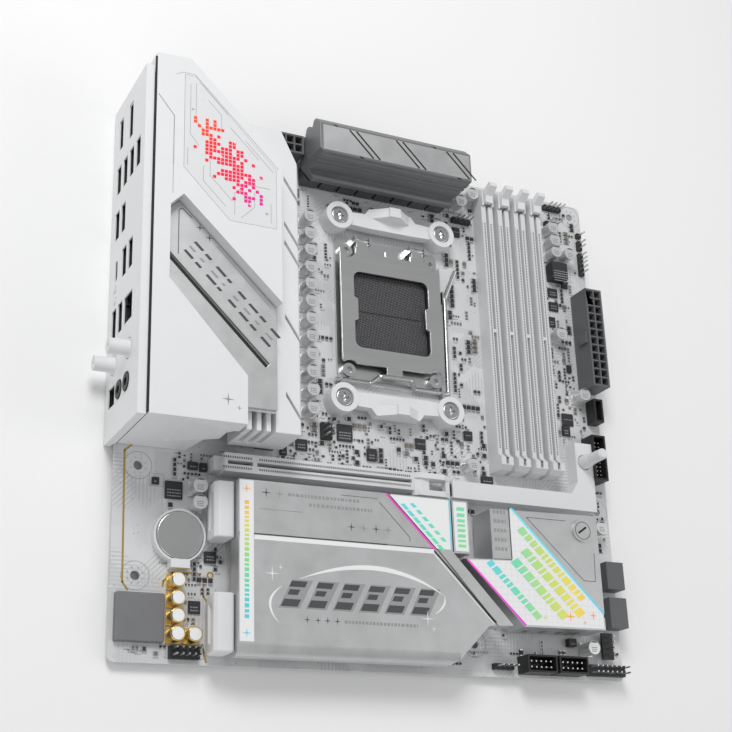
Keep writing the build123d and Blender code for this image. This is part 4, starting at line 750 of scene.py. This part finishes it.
# ------------------------------------------------------------------ M.2 cover
cover_z = extent("m2_cover")[1].z + LIFT
rainbow_up = gradient("rainbow_strip", spot(51, 70), spot(51, 10),
                      [(1.0, 0.45, 0.12), (0.85, 0.75, 0.10), (0.25, 0.80, 0.25),
                       (0.10, 0.72, 0.65), (0.20, 0.60, 0.90)], 0.4)
rainbow_across = gradient("rainbow_bars", spot(118, 73), spot(222, 22),
                          [(0.15, 0.70, 0.90), (0.15, 0.80, 0.60), (0.35, 0.82, 0.25),
                           (0.85, 0.80, 0.12), (1.0, 0.50, 0.10), (0.95, 0.25, 0.35)], 0.4)
strip = Group("rainbow_strip", rainbow_up, "white_plastic")
bars = Group("rainbow_bars", rainbow_across, "white_plastic")
chip_bars = Group("chipset_bars", gradient("chipset_bars", spot(166, 36), spot(222, 42),
                  [(0.15, 0.75, 0.80), (0.20, 0.80, 0.50), (0.60, 0.82, 0.20),
                   (0.95, 0.80, 0.12), (1.0, 0.50, 0.12)], 0.4), "white_plastic")
# Painted light: the magenta printed lines glow a little, brighter than the lamps make them.
magenta = Group("magenta_lines", gradient("magenta_lines", spot(115, 74), spot(181, 20),
                [(0.80, 0.06, 0.50), (0.90, 0.10, 0.60), (0.75, 0.05, 0.65)], 0.4, 0.15),
                "white_plastic")
# Painted light: the cyan printed lines glow a little, brighter than the lamps make them.
cyan = Group("cyan_lines", gradient("cyan_lines", spot(146, 74), spot(224, 26),
             [(0.10, 0.65, 0.80), (0.15, 0.75, 0.85), (0.10, 0.60, 0.85)], 0.4, 0.15),
             "white_plastic")
white.block(48.1, 7.3, 54.2, 73.1, cover_z, cover_z + Group.INK)
strip.star(51.1, 69.5, 2.0, cover_z + OVER)
strip.star(51.1, 10.6, 2.0, cover_z + OVER)
y = 64.5
while y > 16:
    tall = random.uniform(0.8, 1.7)
    strip.slant(50.2, y - tall, 1.9, tall, 0.0, cover_z + OVER)
    y -= tall + 0.75
dark_ink_and_shade.stroke([(54.4, 50.9), (137.2, 50.9)], 0.3, cover_z)
white.block(54.4, 48.6, 137.6, 50.5, cover_z, cover_z + Group.INK)
dark_ink_and_shade.star(59.7, 68.6, 2.2, cover_z)
gray.star(65.8, 68.6, 2.2, cover_z)
dashes(gray, 69.5, 68.0, 33.0, 1.3, cover_z, 0.6, 0.0, 0.7, 1.6)
dashes(gray, 79.0, 64.4, 30.0, 1.3, cover_z, 0.6, 0.0, 0.7, 1.6)
gray.stroke([(56.5, 61.6), (76.0, 61.6)], 0.25, cover_z)
for i in range(4):
    (dark_ink_and_shade if i % 2 == 0 else gray).star(98.3 + 5.8 * i, 57.2, 2.0, cover_z)
dark_ink_and_shade.stroke([(94.0, 70.7), (111.0, 70.7)], 0.2, cover_z)
dark_ink_and_shade.stroke([(112.0, 69.2), (126.0, 54.9), (126.0, 53.2)], 0.25, cover_z)
magenta.stroke([(115.5, 73.2), (137.9, 50.6)], 0.8, cover_z + 0.01)
# Painted shade: a dark line along the gap between the covers.
painted_shade.stroke([(137.7, 49.9), (166.6, 20.6)], 0.7, cover_z)
white.stroke([(136.9, 49.1), (165.6, 19.9)], 0.5, cover_z + 0.01)
white.prism([(117.0, 73.1), (145.9, 73.1), (145.9, 51.0), (139.0, 51.0)],
            cover_z, cover_z + Group.INK)
cyan.stroke([(146.3, 73.1), (146.3, 50.8)], 0.55, cover_z + 0.02)
for i in range(7):
    reach = 3.0 + 5.1 * i
    for row, length in ((0, 4.2), (1, 3.0)):
        x = 120.5 + reach * 0.55 + row * 4.5
        y = 71.0 - reach * 0.55 + row * 0.6
        if x < 143 and 52 < y < 71.5:
            bars.slant(x, y, length * 0.8, 1.5, 1.0, cover_z + OVER, DIAGONAL)
# Painted shade: a dark line down the cover, beside the cyan line.
painted_shade.stroke([(147.2, 73.1), (147.2, 50.4)], 0.5, cover_z)
white.block(148.3, 50.8, 155.0, 72.8, cover_z, cover_z + Group.INK)
y = 71.0
while y > 53:
    tall = random.uniform(1.0, 2.2)
    bars.slant(149.6, y - tall, 3.9, tall * 0.75, 0.5, cover_z + OVER)
    y -= tall + 0.6
for i in range(6):
    x = 64.8 + 11.9 * i
    gray.slant(x, 21.4, 9.2, 11.8, 6.2, cover_z)
    dark_ink_and_shade.slant(x + 0.9, 22.1, 7.4, 3.0, 1.55, cover_z + OVER)
    dark_ink_and_shade.slant(x + 3.9, 26.9, 4.5, 2.2, 1.15, cover_z + OVER)
    dark_ink_and_shade.slant(x + 4.7, 30.2, 7.0, 2.4, 1.2, cover_z + OVER)
for start, through, end, swell in (((74.0, 33.5), (112.0, 48.5), (141.5, 30.5), 1.9),
                                   ((66.5, 30.2), (56.5, 24.0), (64.8, 15.2), 0.9),
                                   ((141.5, 30.5), (142.5, 26.0), (136.5, 22.5), 0.8)):
    widths = [0.15 + swell * math.sin(math.pi * i / ARC_STEPS) for i in range(ARC_STEPS + 1)]
    tapered(white, arc(start, through, end), widths, cover_z + 0.07)
white.star(62.1, 35.1, 3.6, cover_z + 0.07, 0.1)
white.star(65.8, 37.8, 1.6, cover_z + 0.07, 0.14)
white.star(132.8, 20.3, 3.6, cover_z + 0.13, 0.1)
white.star(135.6, 16.2, 1.6, cover_z + 0.07, 0.14)
for x in (77.3, 82.1, 86.4, 90.8):
    dark_ink_and_shade.star(x, 17.1, 1.6, cover_z)
dashes(gray, 94.0, 16.4, 34.0, 1.3, cover_z, 0.6, 0.0, 0.7, 1.6)

# ------------------------------------------------------------------ chipset cover
cover_z = height_at(200.0, 30.0) + LIFT
white.prism([(154.6, 47.4), (166.9, 47.9), (177.0, 48.3), (177.3, 72.0), (178.3, 72.0),
             (223.4, 27.6), (223.4, 20.6), (182.0, 20.3)], cover_z, cover_z + Group.INK)
dark_ink_and_shade.stroke([(176.9, 49.3), (176.9, 72.4)], 0.45, cover_z + OVER)
dark_ink_and_shade.stroke([(167.6, 48.6), (176.7, 48.9)], 0.25, cover_z + OVER)
for row in range(5):
    dashes(gray, 168.6, 69.3 - row * 4.2, 6.3, 1.6, cover_z, 0.5, 0.0, 0.7, 1.5)
magenta.stroke([(154.2, 47.3), (181.6, 20.2)], 0.9, cover_z + OVER)
cyan.stroke([(178.2, 72.3), (223.6, 27.4)], 0.9, cover_z + OVER)
pink = Group("fine_grid", gradient("fine_grid", spot(155, 48), spot(223, 20),
             [(0.85, 0.72, 0.80), (0.84, 0.74, 0.84), (0.72, 0.80, 0.86)], 0.45), "white_plastic")
for i in range(24):
    x = 156.5 + i * 2.8
    upper = min(47.2 if x < 177.5 else 250.2 - x, 71.0)
    lower = max(20.8, 202.6 - x)
    if x < 223 and upper - lower > 1:
        pink.stroke([(x, lower), (x, upper)], 0.12, cover_z + 0.055, 0.02)
for i in range(19):
    y = 22.0 + i * 2.8
    left = max(202.4 - y, 154.5) if y < 47.5 else 177.6
    right = min(250.0 - y, 223.0)
    if right - left > 1:
        pink.stroke([(left, y), (right, y)], 0.12, cover_z + 0.055, 0.02)
pink.finish()
for start, end, tall in (((180.5, 62.5), (211.5, 32.0), 3.6), ((181.5, 52.5), (211.0, 24.0), 4.4),
                         ((176.0, 47.6), (201.0, 23.0), 4.4), ((163.5, 46.4), (187.5, 23.4), 3.2)):
    length = math.hypot(end[0] - start[0], end[1] - start[1])
    along = 0.0
    while along < length - 2.0:
        wide = random.choice((1.6, 2.6, 3.8))
        x, y = start[0] + along * 0.714, start[1] - along * 0.70
        chip_bars.slant(x, y, wide, tall, tall * 0.25, cover_z + 0.08, DIAGONAL)
        along += wide + 0.9
# Painted light: these orange printed stars glow a little, brighter than the lamps make them.
orange = Group("warm_sparkles", gradient("warm_sparkles", spot(190, 40), spot(222, 22),
               [(1.0, 0.75, 0.10), (1.0, 0.45, 0.05), (0.95, 0.25, 0.10)], 0.4, 0.1),
               "white_plastic")
for x, y, size in ((205.5, 25.2, 2.6), (217.8, 26.2, 2.0), (192.0, 24.0, 1.5), (213.0, 22.8, 1.2)):
    orange.star(x, y, size, cover_z + 0.14, 0.16)
orange.finish()
dark_ink_and_shade.stroke([(186.0, 68.9), (207.0, 69.0)], 0.25, cover_z)
dark_ink_and_shade.stroke([(186.0, 68.9), (206.2, 49.8), (210.9, 45.2), (214.7, 41.8), (220.8, 41.9),
             (221.4, 55.0)], 0.25, cover_z)
strip.finish()
bars.finish()
chip_bars.finish()
magenta.finish()
cyan.finish()
knob_x, knob_y = 215.6, 64.9
knob_z = height_at(knob_x, knob_y) + LIFT
dark_ink_and_shade.ring(knob_x, knob_y, 3.9, 4.2, knob_z, knob_z + Group.INK)
# Painted shade: a dark slot across the knob.
painted_shade.slant(213.4, 63.2, 5.4, 0.9, 0.0, knob_z, math.radians(35))

# ------------------------------------------------------------------ board print, lines and parts
mount_ring = (5.75, 5.95)  # inner and outer radius of the line round a mounting hole
dot_circle, dot_radius, dot_count = 3.4, 0.42, 8
gold_width = 0.8
for x, y in ((10.16, 80.01), (10.16, 34.29), (165.1, 13.97), (237.49, 237.49), (237.49, 80.01)):
    gray.ring(x, y, *mount_ring, PRINT, PRINT + 0.03)
    for i in range(dot_count):
        turn = math.radians(22.5 + 45 * i)
        tin_part.disc(x + dot_circle * math.cos(turn), y + dot_circle * math.sin(turn),
                      dot_radius, LIFT, 0.05, 10)
gold_line.stroke([(7.4, 88.6), (4.3, 85.8), (5.0, 31.4), (7.2, 28.4)], gold_width, PRINT)
gold_line.stroke([(21.6, 30.6), (22.0, 32.8), (25.6, 36.4), (36.0, 36.9), (38.9, 34.0),
                  (39.0, 27.4), (40.4, 25.6)], gold_width, PRINT)
gold_line.stroke([(38.6, 8.0), (39.4, 5.0), (40.3, 1.2)], gold_width, PRINT)
gold_line.ring(41.8, 36.4, 0.8, 1.5, PRINT, PRINT + 0.03, 24)
# Rectangles kept free: where moving parts stand or sweep, and beside the rear mounting holes.
# Each small part that is placed adds its own.
taken = [(38.0, 2.5, 48.0, 28.0), (38.0, 48.5, 48.0, 74.0), (132.0, 76.0, 154.0, 88.5),
         (153.0, 75.5, 234.0, 88.0), (218.0, 86.0, 235.0, 113.0), (100.0, 118.0, 158.0, 208.0),
         (178.0, 228.0, 214.5, 243.0), (7.4, 24.0, 21.0, 88.0)]


PROBE_STEP = 1.2


def free(x0, y0, x1, y1, margin=0.35):
    """True when nothing stands over a rectangle of the board."""
    if x0 < 2 or y0 < 1.5 or x1 > 242 or y1 > 242:
        return False
    for left, low, right, high in taken:
        if x0 < right and x1 > left and y0 < high and y1 > low:
            return False
    steps_x = int((x1 - x0) / PROBE_STEP) + 2
    steps_y = int((y1 - y0) / PROBE_STEP) + 2
    for i in range(steps_x):
        for j in range(steps_y):
            x = x0 - margin + (x1 - x0 + 2 * margin) * i / (steps_x - 1)
            y = y0 - margin + (y1 - y0 + 2 * margin) * j / (steps_y - 1)
            if abs(height_at(x, y)) > 0.02:
                return False
    return True


PART_SIZES = ((1.0, 0.55, 0.4), (1.6, 0.85, 0.5), (1.6, 0.85, 0.5), (2.1, 1.3, 0.7),
              (3.2, 1.7, 0.9))  # length, width and height of small parts
PART_GAP = 0.75
TINNED = 0.2  # share of a small part's length that each tinned end covers
DARK_SHARE = 0.72  # share of small parts whose body is dark


def small_part(x, y, long, wide, tall, upright, body):
    """Chip part with tinned ends, from its lower left corner; skipped where there's no room."""
    sx, sy = (wide, long) if upright else (long, wide)
    if not free(x, y, x + sx, y + sy):
        return
    end = long * TINNED
    if upright:
        body.block(x, y + end, x + sx, y + sy - end, 0.0, tall, 0.06)
        tin_part.block(x - 0.03, y, x + sx + 0.03, y + end, 0.0, tall + 0.03, 0.05)
        tin_part.block(x - 0.03, y + sy - end, x + sx + 0.03, y + sy, 0.0, tall + 0.03, 0.05)
    else:
        body.block(x + end, y, x + sx - end, y + sy, 0.0, tall, 0.06)
        tin_part.block(x, y - 0.03, x + end, y + sy + 0.03, 0.0, tall + 0.03, 0.05)
        tin_part.block(x + sx - end, y - 0.03, x + sx, y + sy + 0.03, 0.0, tall + 0.03, 0.05)
    taken.append((x - 0.25, y - 0.25, x + sx + 0.25, y + sy + 0.25))


def cluster(x0, y0, x1, y1, count):
    """Rows of small parts and printed dashes over a rectangle of the board."""
    for _ in range(count):
        x, y = random.uniform(x0, x1), random.uniform(y0, y1)
        upright = random.random() < 0.5
        long, wide, tall = random.choice(PART_SIZES)
        body = dark_part if random.random() < DARK_SHARE else tan_part
        for step in range(random.choice((1, 2, 3, 4, 5))):
            across = step * (wide + PART_GAP)
            small_part(x + (across if upright else 0), y + (0 if upright else across),
                       long, wide, tall, upright, body)
        if random.random() < 0.6 and free(x, y - 1.3, x + 2.6, y - 0.5, 0.1):
            dashes(gray, x, y - 1.3, 2.4, 0.5, PRINT, 0.25, 0.0, 0.3, 0.8)


def small_chip(x, y, wide, deep, tall):
    """Small black package with legs along two sides."""
    if not free(x - 0.9, y, x + wide + 0.9, y + deep):
        return
    dark_part.block(x, y, x + wide, y + deep, 0.05, tall, 0.12)
    count = max(2, int(deep / 0.9))
    for i in range(count):
        at = y + deep * (i + 0.5) / count
        for a, b in ((x - 0.75, x + 0.02), (x + wide - 0.02, x + wide + 0.75)):
            tin_part.block(a, at - 0.16, b, at + 0.16, 0.0, tall * 0.45, 0.05)
    dashes(gray, x + 0.4, y + deep * 0.45, wide - 0.8, 0.35, tall + 0.01, 0.25, 0.0, 0.3, 0.7)
    taken.append((x - 1.0, y - 0.2, x + wide + 1.0, y + deep + 0.2))


for x, y, wide, deep, tall in (
    (22.3, 68.2, 6.6, 6.6, 1.0), (39.8, 44.6, 4.2, 5.0, 1.6), (33.2, 21.0, 4.2, 4.2, 0.9),
    (78.0, 104.0, 4.0, 4.6, 1.2), (92.0, 99.0, 6.0, 6.0, 1.0), (118.0, 96.0, 4.6, 4.0, 1.2),
    (140.0, 101.0, 5.0, 5.0, 1.0), (224.0, 150.0, 5.0, 5.0, 1.0), (222.0, 122.0, 6.0, 6.0, 1.0),
    (226.0, 180.0, 4.2, 5.0, 1.4), (223.0, 195.0, 4.5, 4.5, 1.0), (94.0, 214.0, 4.0, 4.0, 1.0),
    (166.0, 213.0, 4.0, 5.0, 1.2), (228.0, 60.0, 4.5, 4.5, 1.0), (150.0, 6.0, 4.5, 4.0, 1.0),
    (190.0, 6.0, 5.0, 4.0, 1.0), (78.0, 92.0, 4.0, 4.0, 1.0), (166.0, 108.0, 4.0, 4.5, 1.2),
):
    small_chip(x, y, wide, deep, tall)

for x0, y0, x1, y1, count in (
    (24, 66, 42, 90, 46), (6, 3, 24, 8, 12), (22, 8, 41, 37, 44), (8, 44, 20, 66, 10),
    (30, 37, 46, 49, 22), (72, 88, 98, 112, 70), (98, 88, 176, 112, 120), (72, 112, 98, 236, 70),
    (157, 112, 178, 236, 80), (98, 205, 158, 228, 60), (214, 112, 234, 240, 110),
    (216, 88, 242, 142, 60), (44, 86, 160, 92, 40), (226, 10, 242, 78, 60), (48, 2, 226, 12, 40),
    (176, 72, 242, 78, 36), (155, 50, 168, 78, 20), (150, 14, 182, 48, 40), (214, 200, 242, 242, 36),
):
    cluster(x0, y0, x1, y1, count)

for x0, y0, x1, y1 in ((15.0, 72.0, 21.2, 77.2), (23.5, 2.2, 39.2, 8.0), (216.5, 118, 221, 131),
                       (218, 203, 226, 208), (77, 101, 84, 110), (160, 219, 172, 226)):
    gray.stroke([(x0, y0), (x1, y0), (x1, y1), (x0, y1), (x0, y0)], 0.14, PRINT)
for x, y, length in ((84, 89.5, 9), (101, 89.5, 7), (120, 90, 8), (216, 144, 5), (217, 176, 6),
                     (8, 4.2, 8), (20, 39.6, 6), (160, 10, 12), (196, 76.0, 9), (160, 226, 8)):
    dashes(gray, x, y, length, 0.9, PRINT, 0.35, 0.0, 0.4, 0.9)

for group in groups.values():
    group.finish()

# ------------------------------------------------------------------ stage, light and camera
floor_mesh = bmesh.new()
bmesh.ops.create_grid(floor_mesh, x_segments=8, y_segments=8, size=3.0)
floor_data = bpy.data.meshes.new("floor")
floor_mesh.to_mesh(floor_data)
floor_mesh.free()
floor = bpy.data.objects.new("floor", floor_data)
floor.location.z = cad_low.z - 0.0005
bpy.context.scene.collection.objects.link(floor)
floor.data.materials.append(grained("floor_paper", (0.93, 0.93, 0.93), 0.9, 4.0, 0.005, 0.01))

bpy.context.scene.view_settings.view_transform = "Standard"
world = bpy.data.worlds.new("studio")
bpy.context.scene.world = world
world.use_nodes = True
world.node_tree.nodes["Background"].inputs["Color"].default_value = (1.0, 1.0, 1.0, 1.0)
world.node_tree.nodes["Background"].inputs["Strength"].default_value = 0.42

centre = (board_low + board_high) / 2


def softbox(name, offset, size, power):
    """A square area light, offset from the board's centre in metres, that faces it."""
    data = bpy.data.lights.new(name, "AREA")
    data.shape = "SQUARE"
    data.size = size
    data.energy = power
    lamp = bpy.data.objects.new(name, data)
    lamp.location = centre + Vector(offset)
    lamp.rotation_euler = (-Vector(offset)).to_track_quat("-Z", "Y").to_euler()
    bpy.context.scene.collection.objects.link(lamp)


softbox("key", (-0.30, 0.50, 0.75), 0.35, 4.6)
softbox("fill", (0.7, -0.2, 0.6), 0.6, 1.3)
softbox("front", (-0.5, -0.7, 0.35), 0.5, 1.0)

camera_data = bpy.data.cameras.new("camera")
camera_data.lens = 67.76
camera_data.sensor_width = 36.0
camera_data.clip_start = 0.01
camera = bpy.data.objects.new("camera", camera_data)
camera_right = Vector((0.897133, -0.031604, 0.440628))
camera_down = Vector((0.129672, -0.934659, -0.331054))
camera_ahead = Vector((0.422300, 0.354137, -0.834416))
turned = Matrix((camera_right, -camera_down, -camera_ahead)).transposed()
camera.matrix_world = Matrix.Translation(spot(-149.7285, -84.9339, 525.7113)) @ turned.to_4x4()
bpy.context.scene.collection.objects.link(camera)
bpy.context.scene.camera = camera
